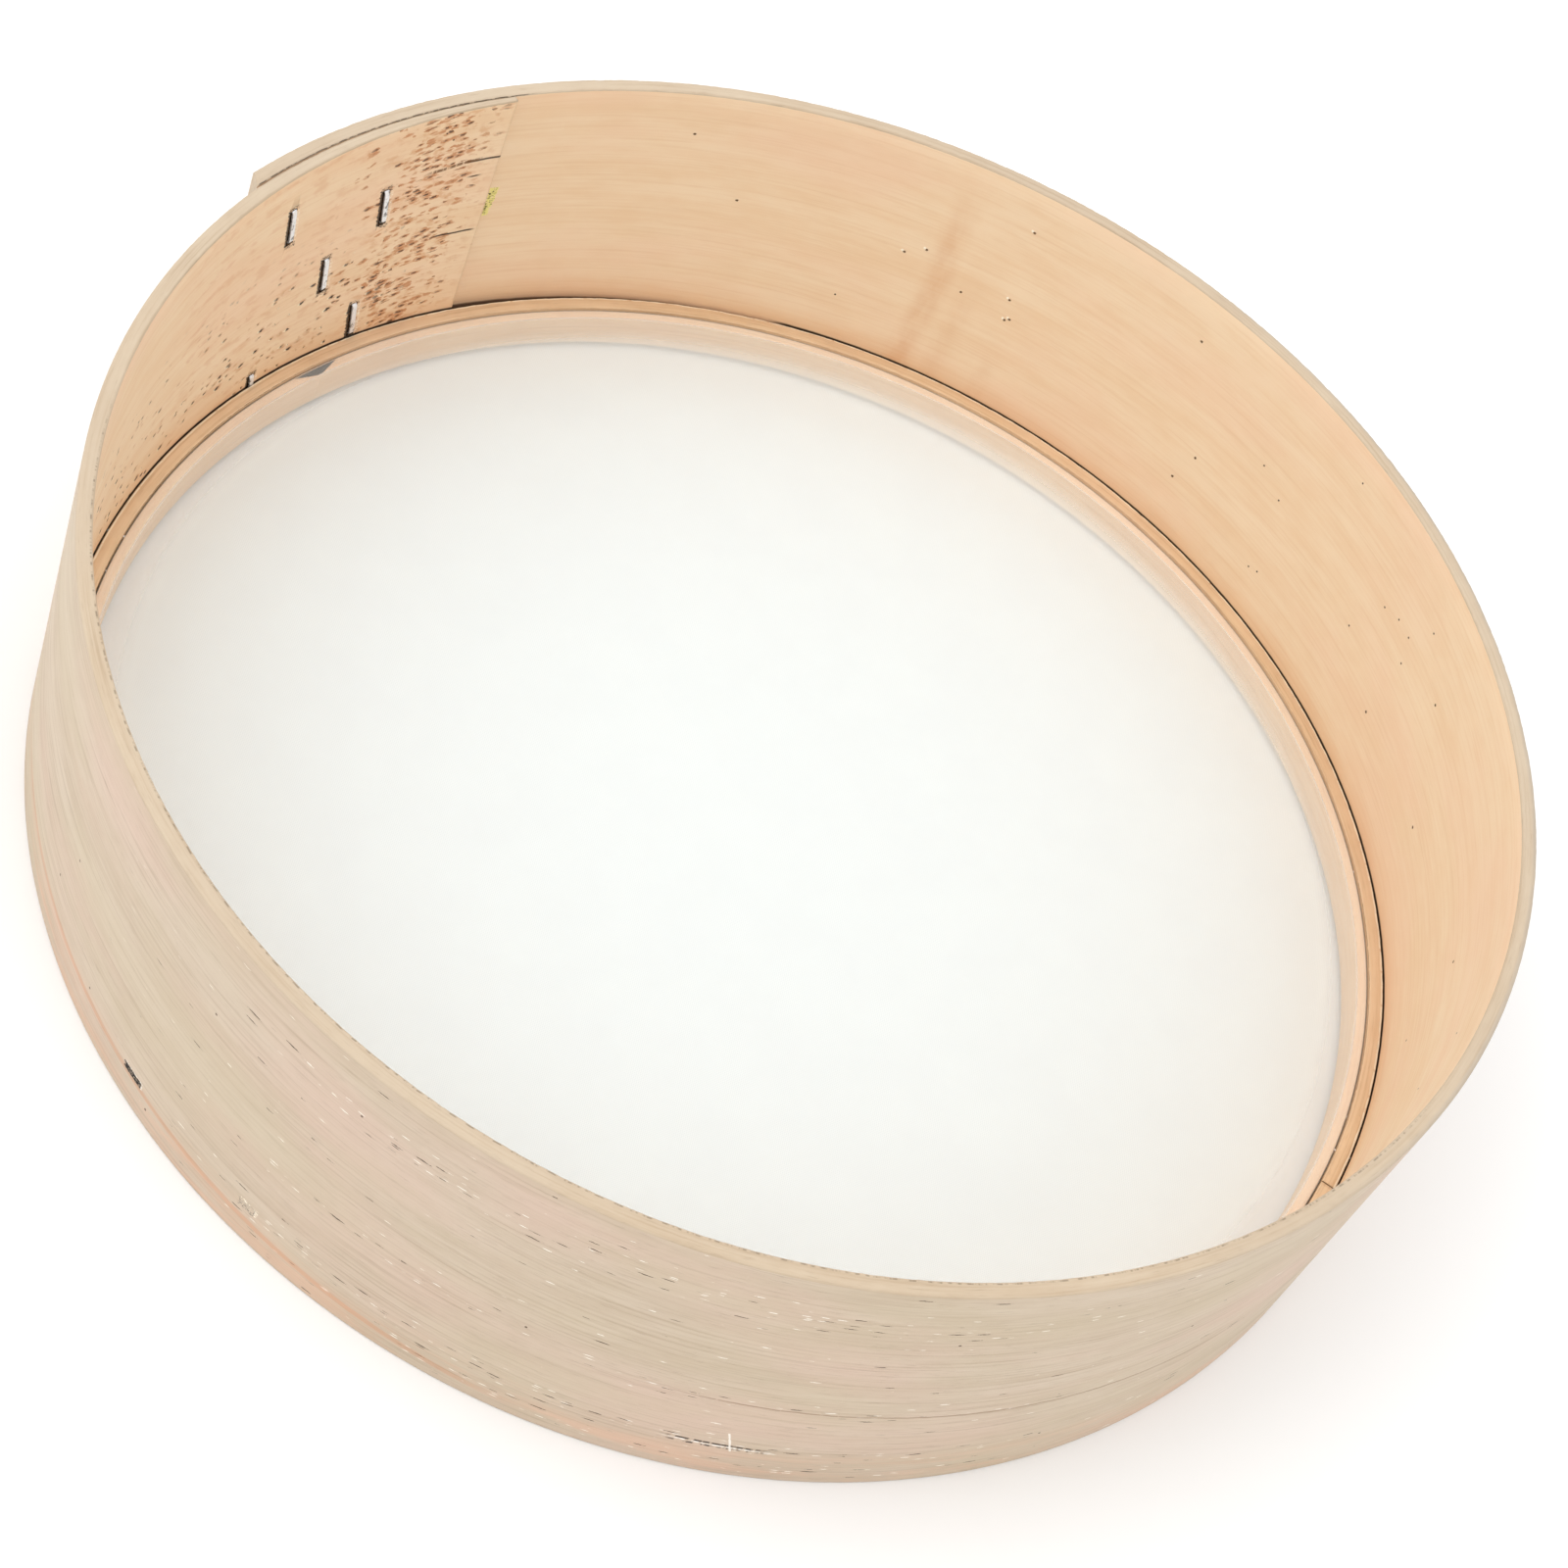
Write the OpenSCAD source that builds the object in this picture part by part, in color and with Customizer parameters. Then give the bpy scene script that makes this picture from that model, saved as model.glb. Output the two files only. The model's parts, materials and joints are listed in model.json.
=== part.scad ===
// Tamis drum sieve: a bentwood hoop, lapped and stapled, with a fine mesh held
// over a narrow ring at its base by a second ring pressed round it.
// The origin is the centre of the base, and +Z points up out of the drum.
// Bearings are degrees anticlockwise from +X, seen from above.

/* [Hoop] */
// Outside diameter of the hoop, away from its lap
hoop_d = 300; // [240:5:400]
// Height of the hoop
hoop_h = 75; // [50:1:110]
// Thickness of the bent strip
hoop_t = 3.2; // [2.4:0.1:4.5]
// Sanded bevel along the strip's edges
hoop_bevel = 0.4; // [0.2:0.1:0.8]

/* [Lap] */
// Bearing of the strip's inner end
lap_bearing = 130; // [100:1:160]
// Length of the overlap, along the hoop
lap_length = 70; // [50:1:100]
// Turn over which the strip eases outwards before it reaches its inner end
lap_ease = 50; // [30:1:60]
// Gap between the two layers of the lap
lap_gap = 0.25; // [0.1:0.05:0.5]
// How far the outer end's face leans back
lap_lean = 2.5; // [0.5:0.5:5]

/* [Rings] */
// Thickness of the clamp ring, which lies next to the hoop
clamp_ring_t = 3.2; // [2.4:0.1:4.5]
// Height of the mesh ring, which carries the mesh
mesh_ring_h = 8.3; // [6.5:0.1:11]
// Thickness of the mesh ring
mesh_ring_t = 2.4; // [2:0.1:4]
// How far the clamp ring stands above the mesh
clamp_lip = 0.4; // [0:0.1:1.5]
// Height of both rings' undersides above the hoop's base edge
ring_raise = 1.5; // [0.2:0.1:3]
// Clearance between the hoop and the clamp ring
ring_gap = 0.35; // [0.3:0.05:0.6]
// Gap between the ends of each ring
ring_slit = 0.3; // [0.2:0.1:0.8]
// Bearing of the clamp ring's square joint
clamp_joint = 341; // [290:1:350]
// Bearing of the mesh ring's slanting joint
mesh_joint = 146; // [115:1:160]
// Length of the mesh ring's slanting joint, along the ring
mesh_joint_l = 8; // [4:1:16]

/* [Mesh] */
// Thickness of the woven mesh
mesh_t = 0.3; // [0.2:0.05:0.5]
// How far the mesh's tucked edge ends above the rings' undersides
mesh_hem = 1.5; // [0:0.1:3]
// Clearance on each side of the tucked edge
mesh_fit = 0.05; // [0.03:0.01:0.15]

/* [Staples] */
// Outside width of a staple's crown
staple_crown = 10.6; // [8:0.1:12.8]
// How far each lap staple leans, its top towards the strip's outer end
staple_lean = 8; // [0:1:15]
// Width of the flat staple wire
wire_w = 1.25; // [0.9:0.05:1.4]
// Thickness of the flat staple wire
wire_t = 0.5; // [0.4:0.05:0.7]
// Clearance round each leg in the wood
leg_fit = 0.03; // [0.02:0.01:0.1]
// Height of a lap staple's crown above the wood
crown_proud = 0.25; // [0.1:0.05:0.25]
// Length of a lap staple's clinched tip
clinch_l = 1.6; // [1:0.1:2.5]
// Depth of a base staple's crown below the wood's surface
crown_sink = 0.2; // [0.1:0.05:0.5]
// How far a base staple's legs reach into the mesh ring
leg_bite = 1; // [0.5:0.1:1.6]
// Depth of the base staples below the top of the mesh ring
base_staple_drop = 1.2; // [1.2:0.1:3]

/* [Hidden] */
$fn = 180;

// Room given to a cut beyond the wood it cuts
over = 10;
// Turn by which the strip is drawn too long before its outer end is cut back
end_spare = 1;
// Bevel along both rings' edges
ring_bevel = 0.25;
// The easing part's faces lie this far inside the rest's, so that the two join as one solid
ease_step = 0.01;

hoop_r = hoop_d / 2;
hoop_ri = hoop_r - hoop_t;

// The lap: the strip eases outwards on a wider arc, tangent to the hoop's own circle
ease_bearing = lap_bearing - lap_ease;
lap_turn = lap_length / hoop_r * 180 / PI;
outer_end_bearing = lap_bearing + lap_turn;
outer_layer_ri = hoop_r + lap_gap;
ease_shift = (pow(outer_layer_ri, 2) - pow(hoop_ri, 2))
    / (2 * (hoop_ri - outer_layer_ri * cos(lap_ease + lap_turn)));
ease_ri = hoop_ri + ease_shift;

// Radius, from the hoop's own centre, of the easing arc of radius r at a bearing
function eased(r, bearing) =
    let (turn = bearing - ease_bearing, c = ease_shift * cos(turn), s = ease_shift * sin(turn))
    sqrt(r * r - s * s) - c;

// Angle about the easing arc's centre of the point where a bearing meets radius r of that arc
function ease_angle(r, bearing) =
    let (turn = bearing - ease_bearing, d = eased(r, bearing))
    atan2(d * sin(turn), d * cos(turn) + ease_shift);

function at(r, bearing) = [r * cos(bearing), r * sin(bearing)];

// Rings, from the hoop inwards
clamp_ring_ro = hoop_ri - ring_gap;
clamp_ring_ri = clamp_ring_ro - clamp_ring_t;
tuck_ro = clamp_ring_ri - mesh_fit;
tuck_ri = tuck_ro - mesh_t;
mesh_ring_ro = tuck_ri - mesh_fit;
mesh_ring_ri = mesh_ring_ro - mesh_ring_t;
mesh_z = ring_raise + mesh_ring_h;
mesh_edge_z = ring_raise + mesh_hem;
clamp_ring_h = mesh_ring_h + mesh_t + clamp_lip;

// Lap staples in three staggered columns: each one's share of the overlap, and its height.
// The clamp ring hides most of the one at the foot, which shows this far above it.
foot_shows = 3;
// Least height of that one's lower bend above the hoop's base edge
foot_rise = 0.8;
foot_z = max(ring_raise + clamp_ring_h + foot_shows - staple_crown / 2, staple_crown / 2 + foot_rise);
lap_columns = [0.41, 0.6, 0.83];
lap_top = [lap_columns[2], 0.785 * hoop_h];
lap_upper = [lap_columns[0], 0.68 * hoop_h];
lap_middle = [lap_columns[1], 0.48 * hoop_h];
lap_lower = [lap_columns[0], 0.212 * hoop_h];
lap_foot = [lap_columns[2], foot_z];
lap_staple_places = [lap_top, lap_upper, lap_middle, lap_lower, lap_foot];
// Turn from a lap staple's middle to its upper leg
lean_turn = staple_crown / 2 * sin(staple_lean) / hoop_ri * 180 / PI;

// Base staples: the bearing and the tilt of each. One stands on each side of the lap, and
// one on each side of the clamp ring's joint.
joint_margin = 6;
base_staple_places = [
    [18, 2], [58, -3], [lap_bearing - 32, 1], [lap_bearing + 46, 3],
    [227.5, 4], [240, -4], [277.5, 0],
    [clamp_joint - joint_margin, -2], [clamp_joint + joint_margin, 3],
];
base_staple_z = mesh_z - base_staple_drop;
base_leg = hoop_r - mesh_ring_ro + leg_bite - crown_sink;

module turned(bearing) {
    rotate([0, 0, bearing]) children();
}

// A flat strip on edge, bent to inner radius r through an arc from bearing 0
module bent_strip(r, t, z, h, bevel, arc) {
    rotate_extrude(angle = arc)
        polygon([
            [r + bevel, z], [r + t - bevel, z], [r + t, z + bevel], [r + t, z + h - bevel],
            [r + t - bevel, z + h], [r + bevel, z + h], [r, z + h - bevel], [r, z + bevel],
        ]);
}

// The wood that the outer layer of the lap and its gap take out of the inner layer
module lap_clearance() {
    turned(ease_bearing)
        translate([-ease_shift, 0, -over])
            rotate_extrude(angle = lap_ease + lap_turn + end_spare)
                translate([ease_ri - lap_gap, 0])
                    square([hoop_t + over, hoop_h + 2 * over]);
}

// The outer end of the strip, cut back so that its face leans
module outer_end_cut() {
    tip = eased(ease_ri, outer_end_bearing);
    back = outer_end_bearing - lap_lean / hoop_r * 180 / PI;
    heel = eased(ease_ri + hoop_t, back);
    lean = at(heel, back) - at(tip, outer_end_bearing);
    translate([0, 0, -over])
        linear_extrude(hoop_h + 2 * over)
            polygon([
                at(tip, outer_end_bearing) - lean,
                at(heel, back) + lean,
                at(heel + over, outer_end_bearing + 2 * end_spare),
                at(tip - hoop_t, outer_end_bearing + 2 * end_spare),
            ]);
}

module hoop_strip() {
    difference() {
        turned(ease_bearing) bent_strip(hoop_ri, hoop_t, 0, hoop_h, hoop_bevel, lap_ease - 360);
        lap_clearance();
    }
    difference() {
        turned(ease_bearing)
            translate([-ease_shift, 0, 0])
                bent_strip(ease_ri + ease_step, hoop_t - 2 * ease_step, 0, hoop_h, hoop_bevel,
                    ease_angle(ease_ri, outer_end_bearing) + end_spare);
        outer_end_cut();
    }
}

// A staple on its side: crown along Y with its outer face at x = 0, legs along +X.
// The wire bends round a corner whose inner radius is the wire's own thickness.
module staple(leg, fit = 0) {
    leg_y = staple_crown / 2 - wire_t;
    straight = leg_y - wire_t;
    bend_x = 2 * wire_t;
    translate([-fit, -straight - fit, -wire_w / 2 - fit])
        cube([wire_t + 2 * fit, 2 * (straight + fit), wire_w + 2 * fit]);
    for (side = [0, 1])
        mirror([0, side, 0]) {
            translate([bend_x, leg_y - fit, -wire_w / 2 - fit])
                cube([leg - bend_x + fit, wire_t + 2 * fit, wire_w + 2 * fit]);
            translate([bend_x, straight, -wire_w / 2 - fit])
                rotate([0, 0, 90])
                    rotate_extrude(angle = 90, $fn = 48)
                        translate([wire_t - fit, 0])
                            square([wire_t + 2 * fit, wire_w + 2 * fit]);
        }
}

// Stands a leaning staple on the inner face of the lap, driven outwards
module on_lap(place) {
    turned(lap_bearing + place[0] * lap_turn)
        translate([hoop_ri - crown_proud, 0, place[1]])
            rotate([90 - staple_lean, 0, 0]) children();
}

// How far a lap staple's legs reach for its upper one to come out just clear of the outer layer
function lap_leg(place) =
    eased(ease_ri + hoop_t, lap_bearing + place[0] * lap_turn + lean_turn)
    - hoop_ri + crown_proud + leg_fit;

// The tips of a lap staple, bent over towards each other against the outer layer
module clinched_tips(leg) {
    for (side = [0, 1])
        mirror([0, side, 0])
            translate([leg, staple_crown / 2 - clinch_l, -wire_w / 2])
                cube([wire_t, clinch_l, wire_w]);
}

// How far the outer face stands out from the hoop's own circle at a bearing
function outer_lift(bearing) =
    bearing > ease_bearing && bearing < outer_end_bearing
        ? eased(ease_ri + hoop_t, bearing) - hoop_r
        : 0;

// Lays a staple nearly level in the hoop's outer face, driven inwards
module on_base(place) {
    turned(place[0])
        translate([hoop_r + outer_lift(place[0]) - crown_sink, 0, base_staple_z])
            rotate([place[1], 0, 180]) children();
}

// Everything that the staples take out of the wood and the mesh
module staple_ways() {
    for (place = lap_staple_places)
        on_lap(place) staple(lap_leg(place), leg_fit);
    for (place = base_staple_places)
        on_base(place) {
            staple(base_leg, leg_fit);
            translate([-crown_sink - leg_fit, -staple_crown / 2 - leg_fit, -wire_w / 2 - leg_fit])
                cube([2 * crown_sink, staple_crown + 2 * leg_fit, wire_w + 2 * leg_fit]);
        }
}

module outer_hoop() {
    color("#E9C79E")
        difference() {
            hoop_strip();
            staple_ways();
        }
}

module clamp_ring() {
    slit_turn = ring_slit / clamp_ring_ri * 180 / PI;
    color("#D8B48A")
        difference() {
            turned(clamp_joint + slit_turn / 2)
                bent_strip(clamp_ring_ri, clamp_ring_t, ring_raise, clamp_ring_h, ring_bevel,
                    360 - slit_turn);
            staple_ways();
        }
}

module mesh_ring() {
    slant = atan2(mesh_ring_t, mesh_joint_l);
    color("#E2C6A6")
        difference() {
            turned(mesh_joint + 180)
                bent_strip(mesh_ring_ri, mesh_ring_t, ring_raise, mesh_ring_h, ring_bevel, 360);
            turned(mesh_joint)
                translate([mesh_ring_ri + mesh_ring_t / 2, 0, -over])
                    rotate([0, 0, 90 + slant])
                        translate([-mesh_joint_l, -ring_slit / 2, 0])
                            cube([2 * mesh_joint_l, ring_slit, mesh_ring_h + 2 * over]);
            staple_ways();
        }
}

module mesh_cloth() {
    color("#F0F0EC")
        difference() {
            rotate_extrude()
                polygon([
                    [0, mesh_z], [tuck_ri, mesh_z], [tuck_ri, mesh_edge_z], [tuck_ro, mesh_edge_z],
                    [tuck_ro, mesh_z + mesh_t], [0, mesh_z + mesh_t],
                ]);
            staple_ways();
        }
}

module lap_staple(place) {
    color("#C9CBCE") {
        on_lap(place) staple(lap_leg(place));
        on_lap(place) clinched_tips(lap_leg(place));
    }
}

module base_staples() {
    color("#B9BBBE")
        for (place = base_staple_places)
            on_base(place) staple(base_leg);
}

outer_hoop();
clamp_ring();
mesh_ring();
mesh_cloth();
lap_staple(lap_top);  // lap_staple_top
lap_staple(lap_upper);  // lap_staple_upper
lap_staple(lap_middle);  // lap_staple_middle
lap_staple(lap_lower);  // lap_staple_lower
lap_staple(lap_foot);  // lap_staple_foot
base_staples();
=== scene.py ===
"""The looks of a tamis drum sieve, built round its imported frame.

A drum sieve is a bentwood hoop whose ends are lapped and stapled, with two narrow rings pressed
into its base. A fine white mesh is stretched over the inner ring and tucked down between the two.
Every strip of wood is made here as a flat plank, then bent round by a node tree that follows the
same rule as the frame. Lengths are in metres and bearings in degrees anticlockwise from +X.
"""

import json
import logging
import math
from collections.abc import Callable, Sequence
from dataclasses import dataclass, field
from enum import Enum
from typing import Union

import bpy
import numpy as np
from mathutils import Euler, Matrix, Vector

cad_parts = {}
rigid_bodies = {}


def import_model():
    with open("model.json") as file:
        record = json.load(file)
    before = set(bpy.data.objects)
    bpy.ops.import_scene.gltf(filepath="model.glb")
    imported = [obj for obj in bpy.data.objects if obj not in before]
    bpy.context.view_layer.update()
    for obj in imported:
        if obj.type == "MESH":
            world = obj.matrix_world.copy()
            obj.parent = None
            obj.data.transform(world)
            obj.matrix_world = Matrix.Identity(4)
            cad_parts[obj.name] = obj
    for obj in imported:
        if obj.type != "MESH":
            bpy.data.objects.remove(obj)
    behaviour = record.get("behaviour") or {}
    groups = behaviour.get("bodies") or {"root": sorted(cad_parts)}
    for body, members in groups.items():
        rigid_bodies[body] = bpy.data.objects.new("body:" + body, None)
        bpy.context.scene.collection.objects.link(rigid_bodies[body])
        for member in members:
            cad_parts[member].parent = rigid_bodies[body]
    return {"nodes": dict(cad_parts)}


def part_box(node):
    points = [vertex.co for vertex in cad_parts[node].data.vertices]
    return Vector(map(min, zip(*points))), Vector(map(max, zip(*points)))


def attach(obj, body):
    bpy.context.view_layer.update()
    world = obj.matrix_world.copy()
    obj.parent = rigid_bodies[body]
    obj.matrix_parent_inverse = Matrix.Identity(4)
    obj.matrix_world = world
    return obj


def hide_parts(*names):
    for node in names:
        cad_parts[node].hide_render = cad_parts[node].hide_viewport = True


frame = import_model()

LOG = logging.getLogger("tamis")
MM = 0.001
BODY = "root"
STRIP_MAP = "strip"
EVEN = 900.0  # The length of noise that doesn't change in one direction

Socket = bpy.types.NodeSocket
Value = Union[float, "Term"]
Colour = tuple[int, int, int]
Speck = tuple[float, float, float]


def linear(level: int) -> float:
    """One channel of a screen colour, from 0 to 255, as the linear value a shader takes."""
    share = level / 255
    return share / 12.92 if share <= 0.04045 else ((share + 0.055) / 1.055) ** 2.4


def reckoner(operation: str, swapped: bool = False) -> Callable[["Term", Value], "Term"]:
    """Makes one of a term's operators.

    Args:
        operation: The Math node's operation.
        swapped: Whether the term is the second value.

    Returns:
        The operator, which adds the node and returns its result.
    """
    def reckon(term: "Term", other: Value) -> "Term":
        """Adds one Math node for a term and another value."""
        return term.board.math(operation, *((other, term) if swapped else (term, other)))

    return reckon


@dataclass(frozen=True)
class Term:
    """A value in a node tree, which is reckoned with like a number."""

    board: "Board"
    socket: Socket

    __add__ = reckoner("ADD")
    __sub__ = reckoner("SUBTRACT")
    __rsub__ = reckoner("SUBTRACT", swapped=True)
    __mul__ = reckoner("MULTIPLY")
    __rmul__ = reckoner("MULTIPLY", swapped=True)
    __truediv__ = reckoner("DIVIDE")

    def __abs__(self) -> "Term":
        """The value without its sign."""
        return self.board.math("ABSOLUTE", self)


class Board:
    """Adds nodes to one node tree and joins them."""

    def __init__(self, tree: bpy.types.NodeTree) -> None:
        """Keeps the tree that nodes are added to."""
        self.tree = tree

    def node(self, kind: str, inputs: dict[int | str, object] | None = None,
             **settings: object) -> bpy.types.Node:
        """Adds one node.

        Args:
            kind: The node's type name.
            inputs: Sockets by name or number, each with a value or a socket to join to it.
            **settings: The node's own properties.

        Returns:
            The new node.
        """
        node = self.tree.nodes.new(kind)
        for name, value in settings.items():
            setattr(node, name, value)
        for key, value in (inputs or {}).items():
            self.feed(node.inputs[key], value)
        return node

    def feed(self, socket: Socket, value: object) -> None:
        """Joins a socket to another, or sets its value.

        Args:
            socket: The input to feed.
            value: A term, a socket, a number, a vector, or a screen colour of three levels.
        """
        if isinstance(value, Term):
            value = value.socket
        if isinstance(value, Socket):
            self.tree.links.new(value, socket)
        elif socket.type == "RGBA" and len(value) == 3:
            socket.default_value = (*map(linear, value), 1.0)
        else:
            socket.default_value = value

    def math(self, operation: str, a: Value, b: Value = 0.0) -> Term:
        """Adds a Math node and returns its result."""
        node = self.node("ShaderNodeMath", {0: a, 1: b}, operation=operation)
        return Term(self, node.outputs[0])

    def vector(self, x: Value, y: Value, z: Value = 0.0) -> Socket:
        """A vector of three values."""
        return self.node("ShaderNodeCombineXYZ", {0: x, 1: y, 2: z}).outputs[0]

    def parts(self, vector: Socket) -> tuple[Term, Term, Term]:
        """The three values of a vector."""
        split = self.node("ShaderNodeSeparateXYZ", {0: vector})
        x, y, z = (Term(self, part) for part in split.outputs)
        return x, y, z

    def polar(self, radius: Term, bearing: Term, height: Term) -> Socket:
        """A place given by its distance from the axis, its bearing and its height."""
        return self.vector(radius * self.math("COSINE", bearing),
                           radius * self.math("SINE", bearing), height)

    def ramp(self, value: Value, start: float, end: float, low: float = 0.0,
             high: float = 1.0) -> Term:
        """Eases smoothly from low to high as a value goes from start to end.

        Args:
            value: What is read.
            start: The value at which the result is low.
            end: The value at which the result is high.
            low: The result at and before start.
            high: The result at and past end.

        Returns:
            The eased result.
        """
        if end < start:
            start, end, low, high = end, start, high, low
        ease = self.node("ShaderNodeMapRange", {0: value, 1: start, 2: end, 3: low, 4: high},
                         interpolation_type="SMOOTHSTEP")
        return Term(self, ease.outputs[0])

    def noise(self, vector: Socket, detail: float = 2.0, roughness: float = 0.5) -> Term:
        """A noise value from about 0.2 to 0.8 at a vector that is already scaled."""
        noise = self.node("ShaderNodeTexNoise", {"Vector": vector, "Scale": 1.0,
                                                 "Detail": detail, "Roughness": roughness})
        return Term(self, noise.outputs[0])

    def noise_at(self, *axes: tuple[Term, float], detail: float = 2.0,
                 roughness: float = 0.5) -> Term:
        """Noise at a place given as two or three values, each with its own scale."""
        scaled = self.vector(*(value * scale for value, scale in axes))
        return self.noise(scaled, detail, roughness)

    def bump(self, height: Term, strength: float = 1.0, distance: float = 1.0) -> Socket:
        """Turns a height into a shading normal."""
        return self.node("ShaderNodeBump", {"Strength": strength, "Distance": distance,
                                            "Height": height}).outputs[0]

    def cells(self, vector: Socket) -> tuple[Term, Term, Term]:
        """Scattered points: the distance to the nearest one, and two random values of its own."""
        cells = self.node("ShaderNodeTexVoronoi", {"Vector": vector, "Scale": 1.0})
        random = self.node("ShaderNodeSeparateColor", {0: cells.outputs["Color"]}).outputs
        return (Term(self, cells.outputs["Distance"]), Term(self, random[0]),
                Term(self, random[1]))

    def mix(self, share: Value, a: Colour | Socket, b: Colour | Socket) -> Socket:
        """Blends two colours.

        Args:
            share: How much of the second colour shows, from 0 to 1.
            a: The first colour.
            b: The second colour.

        Returns:
            The blended colour.
        """
        return self.node("ShaderNodeMix", {0: share, 6: a, 7: b}, data_type="RGBA").outputs[2]

    def shade(self, inputs: dict[int | str, object]) -> None:
        """Ends a material's tree with one Principled shader."""
        shader = self.node("ShaderNodeBsdfPrincipled", inputs)
        self.node("ShaderNodeOutputMaterial", {0: shader.outputs[0]})


def blank_material(name: str) -> tuple[bpy.types.Material, Board]:
    """Makes a material without nodes, and the board that adds them."""
    material = bpy.data.materials.new(name)
    material.use_nodes = True
    material.node_tree.nodes.clear()
    return material, Board(material.node_tree)


@dataclass
class Surface:
    """A wood surface while its marks are laid on: where each point is, and its look so far.

    Along is measured from the strip's inner end, and up from the base edge. Place holds both.
    """

    board: Board
    place: Socket
    along: Term
    up: Term
    colour: Socket
    height: Term
    noises: dict[tuple[float, ...], Term] = field(default_factory=dict)

    def noise(self, length: float, rise: float, layer: float, detail: float = 2.0,
              roughness: float = 0.5) -> Term:
        """Noise whose patches are about as long and as high as the two lengths given."""
        key = (length, rise, layer, detail, roughness)
        if key not in self.noises:
            scaled = self.board.node("ShaderNodeMapping", {
                "Vector": self.place, "Location": (0.0, 0.0, layer),
                "Scale": (1 / length, 1 / rise, 1.0)}).outputs[0]
            self.noises[key] = self.board.noise(scaled, detail, roughness)
        return self.noises[key]


@dataclass(frozen=True)
class Span:
    """A stretch from one value to another, with soft ends unless it is endless."""

    low: float = -9.0
    high: float = 9.0
    soft: float = 2 * MM

    ENDLESS = 5.0

    def share(self, board: Board, value: Term) -> Value:
        """1 inside the stretch, easing to 0 outside it."""
        if self.high - self.low > self.ENDLESS:
            return 1.0
        rise = board.ramp(value, self.low - self.soft, self.low + self.soft)
        fall = board.ramp(value, self.high + self.soft, self.high - self.soft)
        return rise * fall


@dataclass(frozen=True, kw_only=True)
class Mark:
    """Something that shows on a wood surface besides its grain, and how far it reaches."""

    colour: Colour
    along: Span = Span()
    up: Span = Span()
    strength: float = 0.9
    depth: float = 0.0
    layer: float = 0.0

    def mask(self, surface: Surface) -> Value:
        """How much of the mark shows at each point."""
        raise NotImplementedError

    def lay(self, surface: Surface) -> None:
        """Lays the mark on a surface, within its reach.

        Args:
            surface: The surface, whose colour and height are changed.
        """
        board = surface.board
        reach = board.math("MULTIPLY", self.along.share(board, surface.along),
                           self.up.share(board, surface.up))
        mask = reach * self.mask(surface)
        surface.colour = board.mix(mask * self.strength, surface.colour, self.colour)
        if self.depth:
            surface.height = surface.height - mask * self.depth


@dataclass(frozen=True, kw_only=True)
class Shade(Mark):
    """A soft discolouring, in patches of a given length and height or all over."""

    length: float = 0.0
    rise: float = 0.0
    bare: float = 0.4
    full: float = 0.66

    def mask(self, surface: Surface) -> Value:
        """1 where the shade is full, in patches if it has a length."""
        if not self.length:
            return 1.0
        patch = surface.noise(self.length, self.rise, self.layer, 4.0, 0.6)
        return surface.board.ramp(patch, self.bare, self.full)


@dataclass(frozen=True, kw_only=True)
class Stain(Mark):
    """An upright stain about a bearing, blotched along its length."""

    centre: float
    width: float

    WANDER_RISE = 25 * MM
    WANDER_SHARE = 0.6
    REACH_SHARE = 0.85
    BLOTCH = (4 * MM, 9 * MM)

    def mask(self, surface: Surface) -> Value:
        """The stain's blotches, about a wandering upright line."""
        board = surface.board
        wander = surface.noise(EVEN, self.WANDER_RISE, self.centre)
        middle = surface.along + (wander - 0.5) * (self.width * self.WANDER_SHARE)
        off = abs(middle - self.centre)
        across = board.ramp(off, self.width * self.REACH_SHARE, 0.0)
        blotch = surface.noise(*self.BLOTCH, 1.0, 3.0)
        return across * board.ramp(blotch, 0.3, 0.62, 0.35, 1.0)


@dataclass(frozen=True, kw_only=True)
class Flecks(Mark):
    """Short ragged dashes along the grain, crowded over one stretch and in clumps elsewhere.

    Two sets with the same layer, length and breadth fall on the same places. Swell makes one of
    them wider, as a halo, and shift moves it along, as a lit edge.
    """

    length: float
    breadth: float
    sparse: float
    dense: float = 0.0
    crowd: Span = Span()
    rows: tuple[Span, ...] = ()
    slant: float = 0.0
    swell: float = 1.0
    shift: float = 0.0

    CELL_LENGTH = 1.6
    CELL_BREADTH = 2.6
    RAGGED = (0.5 * MM, 0.4 * MM)
    WOBBLE = (1.1 * MM, 1.1 * MM)
    CLUMP = (9 * MM, 13 * MM)
    LEAST_RADIUS = 0.15
    RADIUS_RANGE = 0.3

    def mask(self, surface: Surface) -> Value:
        """1 on each dash that shows."""
        board = surface.board
        slanted = surface.up + surface.along * self.slant
        ragged = surface.noise(*self.RAGGED, self.layer, 2.0)
        wobble = surface.noise(*self.WOBBLE, self.layer, 1.0)
        place = board.vector(
            (surface.along + self.shift) / (self.length * self.CELL_LENGTH) + ragged * 0.5,
            slanted / (self.breadth * self.CELL_BREADTH) + (wobble * 0.5 + ragged * 0.4),
            self.layer)
        distance, chance, size = board.cells(place)
        radius = size * self.RADIUS_RANGE + self.LEAST_RADIUS
        crowd = self.crowd.share(board, surface.along)
        if self.rows:
            level: Value = 0.0
            for row in self.rows:
                level = board.math("MAXIMUM", level, row.share(board, surface.up))
            crowd = crowd * level
        clump = board.ramp(surface.noise(*self.CLUMP, self.layer + 3, 2.0), 0.4, 0.62, 0.2, 1.7)
        share = clump * self.sparse
        if self.dense:
            share = share + crowd * self.dense
        shown = board.math("GREATER_THAN", share, chance)
        return board.ramp(distance / radius, self.swell, 0.5 * self.swell) * shown


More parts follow.
